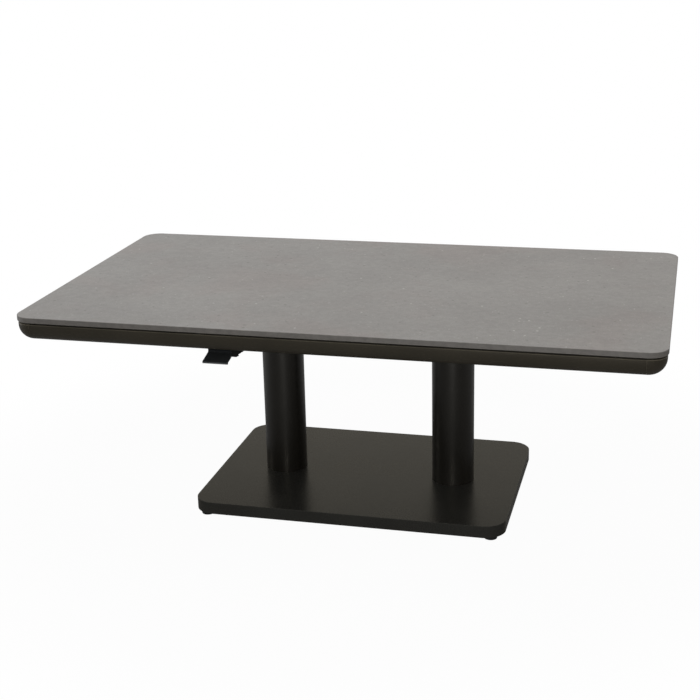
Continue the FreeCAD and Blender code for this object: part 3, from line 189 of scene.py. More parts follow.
def make_worn_edge():
    """Mask of the sharp outer edges, broken up by noise, where hands and cloths rub the finish."""
    bench, takes, gives = effect(
        "worn_edge", {"Reach": 0.0015, "Patch": 60.0, "Strength": 1.0}, ("Mask",))
    rounded = bench.node("ShaderNodeBevel", {"Radius": takes["Reach"]}, samples=EDGE_SAMPLES)
    normal = bench.node("ShaderNodeNewGeometry").outputs["Normal"]
    likeness = bench.node("ShaderNodeVectorMath", {0: rounded.outputs[0], 1: normal},
                          operation="DOT_PRODUCT").outputs["Value"]
    edge = bench.stretch(likeness, *EDGE_RANGE)
    patches = bench.noise(bench.place(), takes["Patch"], **EDGE_PATCHES)
    broken_up = bench.stretch(patches, *EDGE_PATCH_RANGE)
    bench.feed(gives["Mask"], bench.times(edge, broken_up, takes["Strength"]))
    return bench.tree


LIP_RANGE = (0.1, 0.5)
LIP_PATCHES = dict(detail=3.0, roughness=0.6)
LIP_PATCH_RANGE = (0.3, 0.7, 0.55, 1.0)


def make_lip_highlight():
    """Mask of the rounded upper lip of a rail, for a painted highlight where light catches it."""
    bench, takes, gives = effect("lip_highlight", {"Patch": 14.0, "Strength": 1.0}, ("Mask",))
    rounding = bench.stretch(bench.facing_up(), *LIP_RANGE)
    patches = bench.noise(bench.place(), takes["Patch"], **LIP_PATCHES)
    broken_up = bench.stretch(patches, *LIP_PATCH_RANGE)
    bench.feed(gives["Mask"], bench.times(rounding, broken_up, takes["Strength"]))
    return bench.tree


DUST_UP_RANGE = (0.55, 0.98)
DUST_CLOUDS = dict(detail=3.0, roughness=0.6)
DUST_CLOUD_RANGE = (0.3, 0.75, 0.35, 1.0)
DUST_MOTES = dict(scale=900.0, detail=1.0)
DUST_MOTE_RANGE = (0.62, 0.72, 0.0, 0.6)


def make_settled_dust():
    """Mask of fine dust on faces that look up, thicker in soft patches."""
    bench, takes, gives = effect("settled_dust", {"Patch": 9.0, "Strength": 1.0}, ("Mask",))
    up = bench.stretch(bench.facing_up(), *DUST_UP_RANGE)
    place = bench.place()
    clouds = bench.stretch(bench.noise(place, takes["Patch"], **DUST_CLOUDS), *DUST_CLOUD_RANGE)
    motes = bench.stretch(bench.noise(place, **DUST_MOTES), *DUST_MOTE_RANGE)
    thick = bench.work_out("ADD", clouds, motes)
    bench.feed(gives["Mask"], bench.times(up, thick, takes["Strength"]))
    return bench.tree


COAT_CLOUDS = dict(detail=3.0, roughness=0.55)
COAT_PEEL = dict(detail=1.5, roughness=0.4)
COAT_PORE_DETAIL = 1.0
PORE_SCALE_TO_PEEL = 3.1
COAT_SHADE_WEIGHTS = (0.7, 0.3)
COAT_GLOSS_WEIGHTS = (0.55, 0.45)
COAT_PORE_DEPTH = 0.25


def make_coat_skin():
    """Powder coat: the faint peel of its surface, soft changes of shade and of gloss."""
    bench, takes, gives = effect(
        "coat_skin", {"Peel": 420.0, "Cloud": 7.0}, ("Shade", "Gloss", "Height"))
    place = bench.place()
    clouds = bench.noise(place, takes["Cloud"], **COAT_CLOUDS)
    peel = bench.noise(place, takes["Peel"], **COAT_PEEL)
    pore_scale = bench.times(takes["Peel"], PORE_SCALE_TO_PEEL)
    pores = bench.noise(place, pore_scale, COAT_PORE_DETAIL)
    bench.feed(gives["Shade"], bench.weighted_sum((clouds, pores), COAT_SHADE_WEIGHTS))
    bench.feed(gives["Gloss"], bench.weighted_sum((clouds, peel), COAT_GLOSS_WEIGHTS))
    bench.feed(gives["Height"], bench.work_out("ADD", peel, bench.times(pores, COAT_PORE_DEPTH)))
    return bench.tree


PLASTIC_CLOUDS = dict(scale=26.0, detail=3.0, roughness=0.6)
PLASTIC_GLOSS_WEIGHTS = (0.6, 0.5)


def make_moulded_grain():
    """Moulded plastic: a fine spark-eroded grain and slow shade changes."""
    bench, takes, gives = effect("moulded_grain", {"Grain": 1100.0}, ("Shade", "Gloss", "Height"))
    place = bench.place()
    cells = bench.node("ShaderNodeTexVoronoi", {"Vector": place, "Scale": takes["Grain"]},
                       feature="SMOOTH_F1").outputs["Distance"]
    clouds = bench.noise(place, **PLASTIC_CLOUDS)
    bench.feed(gives["Shade"], clouds)
    bench.feed(gives["Gloss"], bench.weighted_sum((clouds, cells), PLASTIC_GLOSS_WEIGHTS))
    bench.feed(gives["Height"], cells)
    return bench.tree


METAL_LINES = dict(detail=3.0, roughness=0.6)
METAL_STAINS = dict(scale=45.0, detail=4.0, roughness=0.6, warp=0.6)
METAL_SHADE_WEIGHTS = (0.45, 0.55)
METAL_GLOSS_WEIGHTS = (0.5, 0.5)


def make_metal_grain():
    """Bare or plated metal: fine lines along one axis, and stains that dull it."""
    bench, takes, gives = effect(
        "metal_grain", {"Stretch": (1.0, 1.0, 1.0), "Grain": 900.0}, ("Shade", "Gloss", "Height"))
    place = bench.place()
    drawn_out = bench.node("ShaderNodeVectorMath", {0: place, 1: takes["Stretch"]},
                           operation="MULTIPLY").outputs[0]
    lines = bench.noise(drawn_out, takes["Grain"], **METAL_LINES)
    stains = bench.noise(place, **METAL_STAINS)
    bench.feed(gives["Shade"], bench.weighted_sum((lines, stains), METAL_SHADE_WEIGHTS))
    bench.feed(gives["Gloss"], bench.weighted_sum((lines, stains), METAL_GLOSS_WEIGHTS))
    bench.feed(gives["Height"], lines)
    return bench.tree


FLECK_RAGGED_SCALE = 320.0
FLECK_RAGGED_REACH = (0.003, 0.003, 0.003)
FLECK_RADIUS_RANGE = (0.0, 1.0, 0.45, 1.0)
FLECK_FIRM_RADIUS = 0.6
FLECK_STRENGTH_RANGE = (0.0, 1.0, 0.4, 1.0)


def make_stone_fleck():
    """Flecks scattered in a mineral sheet. Cell sets how far apart they are, Share how many of the
    cells have one, and Radius their size as a share of a cell."""
    bench, takes, gives = effect(
        "stone_fleck", {"Cell": 60.0, "Share": 0.3, "Radius": 0.12}, ("Mask",))
    place = bench.place()
    ragged = bench.node("ShaderNodeTexNoise", {"Vector": place, "Scale": FLECK_RAGGED_SCALE})
    shaken = bench.node("ShaderNodeVectorMath",
                        {0: ragged.outputs["Color"], 1: FLECK_RAGGED_REACH, 2: place},
                        operation="MULTIPLY_ADD").outputs[0]
    cells = bench.node("ShaderNodeTexVoronoi", {"Vector": shaken, "Scale": takes["Cell"]}).outputs
    draw = bench.node("ShaderNodeSeparateColor", {0: cells["Color"]}).outputs
    chosen = bench.work_out("LESS_THAN", draw["Red"], takes["Share"])
    radius = bench.times(takes["Radius"], bench.stretch(draw["Green"], *FLECK_RADIUS_RANGE))
    outside = bench.stretch(cells["Distance"], bench.times(radius, FLECK_FIRM_RADIUS), radius)
    spot = bench.work_out("SUBTRACT", 1.0, outside)
    strength = bench.stretch(draw["Blue"], *FLECK_STRENGTH_RANGE)
    bench.feed(gives["Mask"], bench.times(spot, chosen, strength))
    return bench.tree


EFFECTS = {
    "worn_edge": make_worn_edge(),
    "lip_highlight": make_lip_highlight(),
    "settled_dust": make_settled_dust(),
    "coat_skin": make_coat_skin(),
    "moulded_grain": make_moulded_grain(),
    "metal_grain": make_metal_grain(),
    "stone_fleck": make_stone_fleck(),
}


def use(bench, name, **values):
    """Places an effect in a material with its own values, and returns its outputs."""
    made = bench.node("ShaderNodeGroup")
    made.node_tree = EFFECTS[name]
    for socket, value in values.items():
        bench.feed(made.inputs[socket], value)
    return made.outputs


# ---------------------------------------------------------------- finishes

DUST = (0.21, 0.2, 0.185, 1.0)
SHADE_RANGE = (0.25, 0.75)


def new_finish(name):
    """A material with one Principled shader. Returns the material, its bench and the shader."""
    material = bpy.data.materials.new(name)
    material.use_nodes = True
    bench = Bench(material.node_tree)
    shader = next(node for node in material.node_tree.nodes if node.type == "BSDF_PRINCIPLED")
    return material, bench, shader


def bump(bench, shader, height, depth):
    """Raises the surface by height, which is 0 to 1, times depth."""
    raised = bench.node("ShaderNodeBump", {"Height": height, "Distance": depth, "Strength": 1.0})
    bench.feed(shader.inputs["Normal"], raised.outputs[0])


def scaled(colour, lift):
    """The colour made lighter or darker, as a shader's socket takes it."""
    return tuple(channel * lift for channel in colour) + (1.0,)


def varied(bench, colour, share, swing):
    """The colour, darker by swing where share is 0 and lighter by it where share is 1."""
    return bench.tint(share, scaled(colour, 1.0 - swing), scaled(colour, 1.0 + swing))


def shaded(bench, colour, shade, swing):
    """The colour made darker and lighter by shade, which runs about 0.5."""
    return varied(bench, colour, bench.stretch(shade, *SHADE_RANGE), swing)


COAT_WEAR = dict(Reach=0.0016, Strength=0.4)
COAT_ROUGHNESS_RANGE = (0.3, 0.7)
COAT_ROUGHNESS_SWING = 0.05
COAT_POLISH = 0.12
DUST_DULLING = 0.5


def powder_coat(name, colour, roughness, gloss_level=0.2, peel=420.0, peel_depth=0.00004,
                swing=0.1, dust=0.05, lift=1.7, lip=0.0, gloss_tint=WHITE, flake=0.0):
    """Satin or matt powder coat. lift is how much lighter the worn edges and the lip highlight are,
    lip how strong the painted highlight on the upper lip is, and flake how much of the coat is
    metal flake."""
    material, bench, shader = new_finish(name)
    skin = use(bench, "coat_skin", Peel=peel)
    edge_mask = use(bench, "worn_edge", **COAT_WEAR)["Mask"]
    # the sharp edges are real wear; the upper lip is lightened as a painted highlight
    if lip:
        edge_mask = bench.work_out("MAXIMUM", edge_mask, use(bench, "lip_highlight", Strength=lip)["Mask"])
    dusty = use(bench, "settled_dust", Strength=dust)["Mask"]
    body = shaded(bench, colour, skin["Shade"], swing)
    # lighter on the worn edges, and on the upper lip as a painted highlight
    lightened = bench.tint(edge_mask, body, scaled(colour, lift))
    bench.feed(shader.inputs["Base Color"], bench.tint(dusty, lightened, DUST))
    rough = bench.stretch(skin["Gloss"], *COAT_ROUGHNESS_RANGE,
                          roughness - COAT_ROUGHNESS_SWING, roughness + COAT_ROUGHNESS_SWING)
    smoothed = bench.work_out("SUBTRACT", rough, bench.times(edge_mask, COAT_POLISH))
    dulled = bench.work_out("ADD", smoothed, bench.times(dusty, DUST_DULLING))
    bench.feed(shader.inputs["Roughness"], dulled)
    shader.inputs["Specular IOR Level"].default_value = gloss_level
    shader.inputs["Specular Tint"].default_value = gloss_tint
    shader.inputs["Metallic"].default_value = flake
    bump(bench, shader, skin["Height"], peel_depth)
    return material


PLASTIC_SWING = 0.12
PLASTIC_WEAR = dict(Reach=0.0012, Strength=0.5)
PLASTIC_WEAR_LIFT = 2.2
PLASTIC_DUST = dict(Patch=40.0, Strength=0.04)
PLASTIC_ROUGHNESS_RANGE = (0.2, 0.9)
PLASTIC_ROUGHNESS_SWING = 0.06
PLASTIC_POLISH = 0.15


def moulded_plastic(name, colour, roughness, gloss_level=0.25, grain=1100.0, grain_depth=0.00003,
                    lit_bands=()):
    """Black moulded plastic. lit_bands lists painted light: lighter colours for the lower parts of
    the piece, each with the level where the change begins and the lower level where it is complete."""
    material, bench, shader = new_finish(name)
    skin = use(bench, "moulded_grain", Grain=grain)
    edge_mask = use(bench, "worn_edge", **PLASTIC_WEAR)["Mask"]
    dusty = use(bench, "settled_dust", **PLASTIC_DUST)["Mask"]
    body = shaded(bench, colour, skin["Shade"], PLASTIC_SWING)
    # painted light: the piece is lighter below the given levels, where light reaches under the
    # frame
    for lit_colour, begins, complete in lit_bands:
        below = bench.stretch(bench.upward(bench.place()), begins, complete)
        lightened = shaded(bench, lit_colour, skin["Shade"], PLASTIC_SWING)
        body = bench.tint(below, body, lightened)
    edged = bench.tint(edge_mask, body, scaled(colour, PLASTIC_WEAR_LIFT))
    bench.feed(shader.inputs["Base Color"], bench.tint(dusty, edged, DUST))
    rough = bench.stretch(skin["Gloss"], *PLASTIC_ROUGHNESS_RANGE,
                          roughness - PLASTIC_ROUGHNESS_SWING, roughness + PLASTIC_ROUGHNESS_SWING)
    smoothed = bench.work_out("SUBTRACT", rough, bench.times(edge_mask, PLASTIC_POLISH))
    bench.feed(shader.inputs["Roughness"], smoothed)
    shader.inputs["Specular IOR Level"].default_value = gloss_level
    bump(bench, shader, skin["Height"], grain_depth)
    return material


METAL_WEAR = dict(Reach=0.0006, Patch=200.0)
METAL_ROUGHNESS_RANGE = (0.25, 0.75)
METAL_SMOOTHEST = 0.75
METAL_ROUGHEST = 1.3


def bare_metal(name, colour, roughness, stretch=(1.0, 1.0, 1.0), grain=900.0, depth=0.00001,
               swing=0.14, wear=0.3, lift=1.25):
    """Bare or plated metal. stretch draws its lines out: the smaller a number, the longer they are
    along that axis. lift is how much lighter the worn edges are."""
    material, bench, shader = new_finish(name)
    skin = use(bench, "metal_grain", Stretch=stretch, Grain=grain)
    edge_mask = use(bench, "worn_edge", Strength=wear, **METAL_WEAR)["Mask"]
    body = shaded(bench, colour, skin["Shade"], swing)
    bench.feed(shader.inputs["Base Color"], bench.tint(edge_mask, body, scaled(colour, lift)))
    rough = bench.stretch(skin["Gloss"], *METAL_ROUGHNESS_RANGE,
                          roughness * METAL_SMOOTHEST, roughness * METAL_ROUGHEST)
    bench.feed(shader.inputs["Roughness"], rough)
    shader.inputs["Metallic"].default_value = 1.0
    bump(bench, shader, skin["Height"], depth)
    return material


STONE_LIGHT = (0.305, 0.294, 0.281, 1.0)
STONE_DARK = (0.193, 0.184, 0.173, 1.0)
STONE_ROSE = (1.0, 0.955, 0.95, 1.0)
STONE_CLOUDS = dict(scale=5.0, detail=3.0, roughness=0.55, warp=0.3)
STONE_MOTTLE = dict(scale=70.0, detail=4.0, roughness=0.6, warp=0.4)
STONE_GRIT = dict(scale=420.0, detail=2.0, roughness=0.7)
STONE_BLUSH = dict(scale=3.2, detail=3.0, roughness=0.6, warp=0.4)
STONE_MIX_WEIGHTS = (0.28, 0.32, 0.4)
STONE_MIX_RANGE = (0.3, 0.7)
STONE_BLUSH_RANGE = (0.45, 0.62, 0.0, 0.8)
STONE_FLECKS = {  # how they are scattered, how strong they are, their colour
    "pale": (dict(Cell=44.0, Share=0.34, Radius=0.14), 0.75, (0.62, 0.61, 0.58, 1.0)),
    "fine_pale": (dict(Cell=95.0, Share=0.4, Radius=0.24), 0.45, (0.46, 0.45, 0.43, 1.0)),
    "dark": (dict(Cell=50.0, Share=0.5, Radius=0.2), 0.65, (0.1, 0.095, 0.087, 1.0)),
}
STONE_TOP_RANGE = (0.55, 0.85)
# The sides are coloured darker than the top as painted shade, for faces turned away from the light
# above.
STONE_SHADED_SIDE = (0.096, 0.089, 0.081)
STONE_SIDE_SWING = 0.12
STONE_SIDE_RANGE = (-0.8, -0.5)
SIDE_FLECK = (0.32, 0.31, 0.29, 1.0)
SIDE_FLECK_STRENGTH = 0.3
STONE_BACK = (0.15, 0.14, 0.125)
STONE_BACK_SWING = 0.15
STONE_ROUGHNESS = (0.5, 0.62)
STONE_GLOSS_LEVEL = 0.3
STONE_HEIGHT_WEIGHTS = (0.6, 0.4)
STONE_DEPTH = 0.00012


def slab_stone():
    """Fine matt mineral sheet: soft mottling, grit and sparse white and dark flecks on top, sides
    coloured darker as painted shade, and a plain underside."""
    material, bench, shader = new_finish("slab_stone")
    place = bench.place()
    clouds = bench.noise(place, **STONE_CLOUDS)
    mottle = bench.noise(place, **STONE_MOTTLE)
    grit = bench.noise(place, **STONE_GRIT)
    mixed = bench.weighted_sum((clouds, mottle, grit), STONE_MIX_WEIGHTS)
    top = bench.tint(bench.stretch(mixed, *STONE_MIX_RANGE), STONE_DARK, STONE_LIGHT)
    rosy = bench.stretch(bench.noise(place, **STONE_BLUSH), *STONE_BLUSH_RANGE)
    top = bench.tint(rosy, top, STONE_ROSE, "MULTIPLY")
    flecks = {}
    for kind, (scatter, strength, colour) in STONE_FLECKS.items():
        flecks[kind] = use(bench, "stone_fleck", **scatter)["Mask"]
        top = bench.tint(bench.times(flecks[kind], strength), top, colour)
    # painted shade: the sides take the darker colour
    side = varied(bench, STONE_SHADED_SIDE, bench.stretch(mottle, *STONE_MIX_RANGE), STONE_SIDE_SWING)
    side = bench.tint(bench.times(flecks["pale"], SIDE_FLECK_STRENGTH), side, SIDE_FLECK)
    back = varied(bench, STONE_BACK, grit, STONE_BACK_SWING)
    up = bench.facing_up()
    lower = bench.tint(bench.stretch(up, *STONE_SIDE_RANGE), back, side)
    bench.feed(shader.inputs["Base Color"],
               bench.tint(bench.stretch(up, *STONE_TOP_RANGE), lower, top))
    bench.feed(shader.inputs["Roughness"],
               bench.stretch(mixed, *STONE_MIX_RANGE, *STONE_ROUGHNESS))
    shader.inputs["Specular IOR Level"].default_value = STONE_GLOSS_LEVEL
    bump(bench, shader, bench.weighted_sum((grit, mottle), STONE_HEIGHT_WEIGHTS), STONE_DEPTH)
    return material


FOAM_BLACK = (0.006, 0.006, 0.006)
FOAM_CELL_SCALE = 1300.0
FOAM_CLOUDS = dict(scale=120.0, detail=3.0, roughness=0.6)
FOAM_SWING = 0.3
FOAM_ROUGHNESS_RANGE = (0.3, 0.7, 0.86, 0.96)
FOAM_GLOSS_LEVEL = 0.08
FOAM_DEPTH = 0.0003


def gasket_foam():
    """Black closed-cell foam strip."""
    material, bench, shader = new_finish("gasket_foam")
    place = bench.place()
    cells = bench.node("ShaderNodeTexVoronoi", {"Vector": place, "Scale": FOAM_CELL_SCALE})
    shade = bench.noise(place, **FOAM_CLOUDS)
    bench.feed(shader.inputs["Base Color"], shaded(bench, FOAM_BLACK, shade, FOAM_SWING))
    bench.feed(shader.inputs["Roughness"], bench.stretch(shade, *FOAM_ROUGHNESS_RANGE))
    shader.inputs["Specular IOR Level"].default_value = FOAM_GLOSS_LEVEL
    bump(bench, shader, cells.outputs["Distance"], FOAM_DEPTH)
    return material


FRAME_COAT = (0.0258, 0.0228, 0.017)
WARM_GLOSS = (1.0, 0.9, 0.76, 1.0)
COLUMN_GLOSS = (1.0, 0.97, 0.9, 1.0)
BRONZE_GLOSS = (1.0, 0.945, 0.83, 1.0)

POWDER_COATS = {
    # The rails and corners lighten their upper lip as a painted highlight; the corners' higher lift
    # paints it stronger there.
    "frame_paint": dict(colour=FRAME_COAT, roughness=0.45, gloss_level=0.1, gloss_tint=WARM_GLOSS,
                        lip=0.9, lift=3.2),
    "corner_paint": dict(colour=FRAME_COAT, roughness=0.45, gloss_level=0.1,
                         gloss_tint=WARM_GLOSS, lip=0.95, lift=5.0),
    "tube_paint": dict(colour=(0.012, 0.012, 0.0115), roughness=0.55, gloss_level=0.15,
                       peel=520.0),
    "column_paint": dict(colour=(0.0022, 0.0018, 0.0012), roughness=0.33, gloss_level=0.33,
                         gloss_tint=COLUMN_GLOSS, peel=380.0, lift=3.0),
    "inner_column_paint": dict(colour=(0.012, 0.012, 0.0118), roughness=0.28, gloss_level=0.25,
                               peel=600.0),
    "base_paint": dict(colour=(0.033, 0.0323, 0.0288), roughness=0.28, gloss_level=0.015,
                       gloss_tint=BRONZE_GLOSS, flake=0.37, peel=360.0, dust=0.02),
    "stand_paint": dict(colour=(0.03, 0.03, 0.03), roughness=0.6, swing=0.2),
    "cylinder_paint": dict(colour=(0.01, 0.01, 0.01), roughness=0.16, gloss_level=0.4,
                           peel=700.0, peel_depth=0.00001),
    "ballast_steel": dict(colour=(0.045, 0.042, 0.04), roughness=0.68, swing=0.3,
                          peel_depth=0.0001),
}

BARE_METALS = {
    "zinc_steel": dict(colour=(0.55, 0.56, 0.57), roughness=0.34),
    "pin_steel": dict(colour=(0.54, 0.54, 0.55), roughness=0.24, stretch=(3.0, 0.4, 3.0)),
    "wire_steel": dict(colour=(0.56, 0.56, 0.56), roughness=0.3, stretch=(2.0, 0.3, 2.0),
                       depth=0.00003),
    "rod_chrome": dict(colour=(0.7, 0.71, 0.73), roughness=0.07, stretch=(2.0, 2.0, 0.2),
                       swing=0.05, wear=0.0),
    "head_alloy": dict(colour=(0.55, 0.55, 0.56), roughness=0.42, grain=600.0, depth=0.00005),
    "black_screw": dict(colour=(0.045, 0.045, 0.048), roughness=0.38, wear=0.7, lift=3.0),
    # adjuster_metal is set darker than its own dark metal, as painted shade for the frame's shadow
    # over it.
    "adjuster_metal": dict(colour=(0.016, 0.015, 0.0145), roughness=0.45, wear=0.6, lift=3.5),
}

# Painted light on the paddle: the blade is lighter below the hub, which stays dark as in the
# frame's shadow, and its lower front edge lighter still as a painted highlight. Each band: colour,
# the level where it begins, the lower level where it is complete.
PADDLE_LIT_BANDS = (((0.021, 0.023, 0.0245), 0.444, 0.426), ((0.082, 0.086, 0.087), 0.4232, 0.4215))

MOULDED_PLASTICS = {
    # bracket_plastic is set darker than its own black plastic, as painted shade for the frame's
    # shadow over it.
    "bracket_plastic": dict(colour=(0.0045, 0.0042, 0.004), roughness=0.52, gloss_level=0.06),
    "paddle_plastic": dict(colour=(0.0014, 0.0016, 0.002), roughness=0.46, gloss_level=0.07,
                           lit_bands=PADDLE_LIT_BANDS),
    "foot_plastic": dict(colour=(0.009, 0.009, 0.009), roughness=0.55),
    "clip_plastic": dict(colour=(0.014, 0.014, 0.014), roughness=0.48),
    "guide_plastic": dict(colour=(0.02, 0.02, 0.02), roughness=0.4, grain=1500.0),
    "cable_sheath": dict(colour=(0.012, 0.012, 0.012), roughness=0.36, grain=1600.0,
                         grain_depth=0.00001),
}


def make_finishes():
    """One material for each material slot of the record."""
    finishes = {"slab_stone": slab_stone(), "gasket_foam": gasket_foam()}
    for make, table in ((powder_coat, POWDER_COATS), (bare_metal, BARE_METALS),
                        (moulded_plastic, MOULDED_PLASTICS)):
        for name, values in table.items():
            finishes[name] = make(name, **values)
    return finishes


def dress_nodes(finishes):
    """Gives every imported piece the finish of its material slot."""
    for part in frame["record"]["subparts"]:
        piece = nodes[part["node"]]
        finish = finishes[part["material_slot"]]
        if not piece.material_slots:
            piece.data.materials.append(finish)
        for socket in piece.material_slots:
            socket.material = finish


# ---------------------------------------------------------------- small fittings

HEAD_PLATE_THICKNESS = 0.006
INNER_TUBE_RADIUS = 0.041
WELD_REACH = 0.0032
WELD_RIPPLES = 84
RIPPLE_STEPS = 6
RIPPLE_DEPTH = 0.16
WELD_ARC_STEPS = 7
WELD_ROOT = 0.0004
HEAD_FACE_Y = -0.023
FERRULE_STEPS = 40
FERRULE_PROFILE = (  # distance along the cable from the head, radius
    (0.0002, 0.0024), (0.0002, 0.0029), (0.0006, 0.0033), (0.0022, 0.0033), (0.0027, 0.0029),
    (0.0036, 0.0029), (0.0041, 0.0033), (0.0056, 0.0033), (0.0061, 0.0028), (0.0069, 0.0028),
    (0.0074, 0.0032), (0.0086, 0.0032), (0.0091, 0.0030), (0.0140, 0.0028), (0.0146, 0.0024))


def turned_piece(name, rings, finish, body):
    """A closed smooth mesh from rings of points, the last joined to the first, riding on a body."""
    count = len(rings[0])
    faces = []
    for ring in range(len(rings)):
        here, after = ring * count, (ring + 1) % len(rings) * count
        for step in range(count):
            beside = (step + 1) % count
            faces.append((here + step, here + beside, after + beside, after + step))
    mesh = bpy.data.meshes.new(name)
    mesh.from_pydata([point for ring in rings for point in ring], [], faces)
    mesh.polygons.foreach_set("use_smooth", [True] * len(mesh.polygons))
    shape = bmesh.new()
    shape.from_mesh(mesh)
    bmesh.ops.recalc_face_normals(shape, faces=shape.faces)
    shape.to_mesh(mesh)
    shape.free()
    mesh.materials.append(finish)
    piece = put_in_scene(name, mesh)
    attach(piece, body)


def make_weld_bead(side, finish):
    """The rippled weld between a head plate's underside and its inner column."""
    low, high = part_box(f"inner_column_{side}")
    centre = (low + high) * 0.5
    plate_underside = high.z - HEAD_PLATE_THICKNESS
    rings = []
    for step in range(WELD_RIPPLES * RIPPLE_STEPS):
        turn = math.tau * step / (WELD_RIPPLES * RIPPLE_STEPS)
        ripple = (step % RIPPLE_STEPS) / (RIPPLE_STEPS - 1)
        reach = WELD_REACH * (1.0 - RIPPLE_DEPTH * ripple ** 2)
        section = [(-WELD_ROOT, WELD_ROOT)]
        for arc_step in range(WELD_ARC_STEPS):
            rise = math.pi / 2 * arc_step / (WELD_ARC_STEPS - 1)
            section.append((reach * math.sin(rise), -reach * math.cos(rise)))
        rings.append([(centre.x + (INNER_TUBE_RADIUS + out) * math.cos(turn),
                       centre.y + (INNER_TUBE_RADIUS + out) * math.sin(turn),
                       plate_underside + up) for out, up in section])
    turned_piece(f"weld_bead_{side}", rings, finish, "tabletop")


def make_cable_ferrule(side, finish):
    """The crimped sleeve on a cable's end, against the face of its release head."""
    low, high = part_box(f"inner_column_{side}")
    centre_x = (low.x + high.x) * 0.5
    cable_low, cable_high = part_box(f"head_wire_{side}")
    level = (cable_low.z + cable_high.z) * 0.5
    rings = []
    for step in range(FERRULE_STEPS):
        turn = math.tau * step / FERRULE_STEPS
        rings.append([(centre_x + radius * math.cos(turn), HEAD_FACE_Y - along,
                       level + radius * math.sin(turn)) for along, radius in FERRULE_PROFILE])
    turned_piece(f"cable_ferrule_{side}", rings, finish, "tabletop")


def make_fittings(finishes):
    for side in ("left", "right"):
        make_weld_bead(side, finishes["inner_column_paint"])
        make_cable_ferrule(side, finishes["adjuster_metal"])


# ---------------------------------------------------------------- floor, light

FLOOR_REACH = 30.0
FLOOR_MATT = (0.45, 0.45, 0.45, 1.0)
FLOOR_GLOW = (0.97, 1.0)
SHADOW_REACH = (0.75, 1.35)
FLOOR_MIRRORED = (0.05, 0.3)
MIRRORED_REACH = (2.0, 8.0)
GROUND_GAP = 0.03
STUDIO_FILL = 0.2
STUDIO_WHITE = 1.0


def seen_rays(bench):
    """1 for the rays that show a background: from the camera, mirrored or through glass."""
    path = bench.node("ShaderNodeLightPath").outputs
    first = bench.work_out("MAXIMUM", path["Is Camera Ray"], path["Is Glossy Ray"])
    return bench.work_out("MAXIMUM", first, path["Is Transmission Ray"])


def floor_paint():
    """Pale and matt where light falls on it. To the camera it glows white away from the table and
    keeps a faint shadow near it, and mirrors see it darker. Nothing sees it from below, and soft
    light passes it to reach the faces that nearly lie on it."""
    material = bpy.data.materials.new("floor")
    material.use_nodes = True
    material.node_tree.nodes.clear()
    bench = Bench(material.node_tree)
    matt = bench.node("ShaderNodeBsdfDiffuse", {"Color": FLOOR_MATT}).outputs[0]
    glow = bench.node("ShaderNodeEmission", {"Color": WHITE, "Strength": STUDIO_WHITE}).outputs[0]
    clear = bench.node("ShaderNodeBsdfTransparent").outputs[0]
    away = bench.node("ShaderNodeVectorMath", {0: bench.place()},
                      operation="LENGTH").outputs["Value"]
    path = bench.node("ShaderNodeLightPath").outputs
    straight = bench.stretch(away, *SHADOW_REACH, *FLOOR_GLOW)
    mirrored = bench.stretch(away, *MIRRORED_REACH, *FLOOR_MIRRORED)
    glow_share = bench.node("ShaderNodeMix",
                            {"Factor": path["Is Glossy Ray"], "A": straight, "B": mirrored})
    lit = bench.mixed_shaders(bench.times(seen_rays(bench), glow_share.outputs[0]), matt, glow)
    below = bench.node("ShaderNodeNewGeometry").outputs["Backfacing"]
    close = bench.work_out("LESS_THAN", path["Ray Length"], GROUND_GAP)
    unseen = bench.work_out("MAXIMUM", below, bench.times(path["Is Diffuse Ray"], close))
    bench.node("ShaderNodeOutputMaterial", {"Surface": bench.mixed_shaders(unseen, lit, clear)})
    return material


def make_floor():
    """A wide flat sheet that the table stands on."""
    reach = FLOOR_REACH
    sheet = bpy.data.meshes.new("floor")
    sheet.from_pydata([(-reach, -reach, 0), (reach, -reach, 0), (reach, reach, 0),
                       (-reach, reach, 0)], [], [(0, 1, 2, 3)])
    sheet.materials.append(floor_paint())
    floor = put_in_scene("floor", sheet)


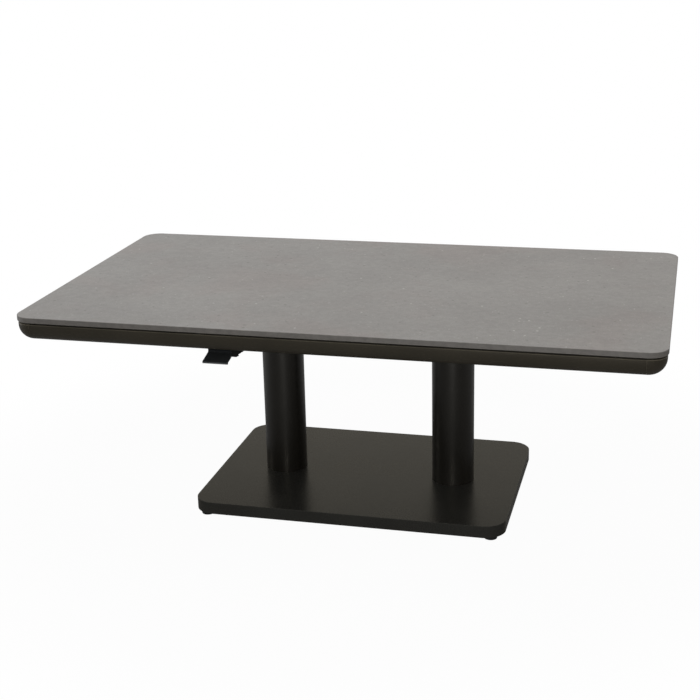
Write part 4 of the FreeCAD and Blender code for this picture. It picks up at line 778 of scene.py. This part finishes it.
def make_world():
    """White all round for what the camera and the mirrors see, a weaker even fill for the rest."""
    world = bpy.data.worlds.new("studio")
    world.use_nodes = True
    world.node_tree.nodes.clear()
    bench = Bench(world.node_tree)
    fill, white = (bench.node("ShaderNodeBackground", {"Color": WHITE, "Strength": strength})
                   for strength in (STUDIO_FILL, STUDIO_WHITE))
    mixed = bench.mixed_shaders(seen_rays(bench), fill.outputs[0], white.outputs[0])
    bench.node("ShaderNodeOutputWorld", {"Surface": mixed})
    bpy.context.scene.world = world


COOL_LIGHT = (0.97, 1.0, 1.02)
WARM_LIGHT = (1.0, 0.94, 0.88)
PLAIN_LIGHT = (1.0, 1.0, 1.0)
LAMPS = {  # place, point it looks at, width and depth, watts, colour
    "left_light": ((-1.3, 0.4, 3.0), (-0.4, 0.1, 0.4), (1.8, 2.4), 36.0, COOL_LIGHT),
    "right_light": ((1.3, 0.4, 3.0), (0.4, 0.1, 0.4), (1.8, 2.4), 25.5, WARM_LIGHT),
    "front_light": ((0.4, -3.3, 1.8), (0.0, -0.2, 0.4), (0.4, 0.7), 24.0, PLAIN_LIGHT),
    "low_front_light": ((0.6, -3.2, 0.5), (0.0, 0.0, 0.3), (0.3, 0.6), 30.0, PLAIN_LIGHT),
    "left_side_light": ((-3.2, -0.4, 0.55), (-0.2, 0.0, 0.25), (1.0, 0.7), 22.0, PLAIN_LIGHT),
    "right_side_light": ((3.2, -0.1, 0.5), (0.2, 0.0, 0.25), (1.0, 0.8), 4.0, WARM_LIGHT),
}


def make_lights():
    """Large soft lamps, each turned to the point it looks at."""
    for name, (place, towards, size, power, colour) in LAMPS.items():
        lamp = bpy.data.lights.new(name, "AREA")
        lamp.color = colour
        lamp.shape = "RECTANGLE"
        lamp.size, lamp.size_y = size
        lamp.energy = power
        box = put_in_scene(name, lamp)
        box.location = place
        box.rotation_mode = "QUATERNION"
        box.rotation_quaternion = (Vector(towards) - Vector(place)).to_track_quat("-Z", "Y")


# ---------------------------------------------------------------- all together

make_camera()
make_floor()
make_world()
make_lights()
finishes = make_finishes()
dress_nodes(finishes)
make_fittings(finishes)

bpy.context.scene.view_settings.view_transform = "Standard"
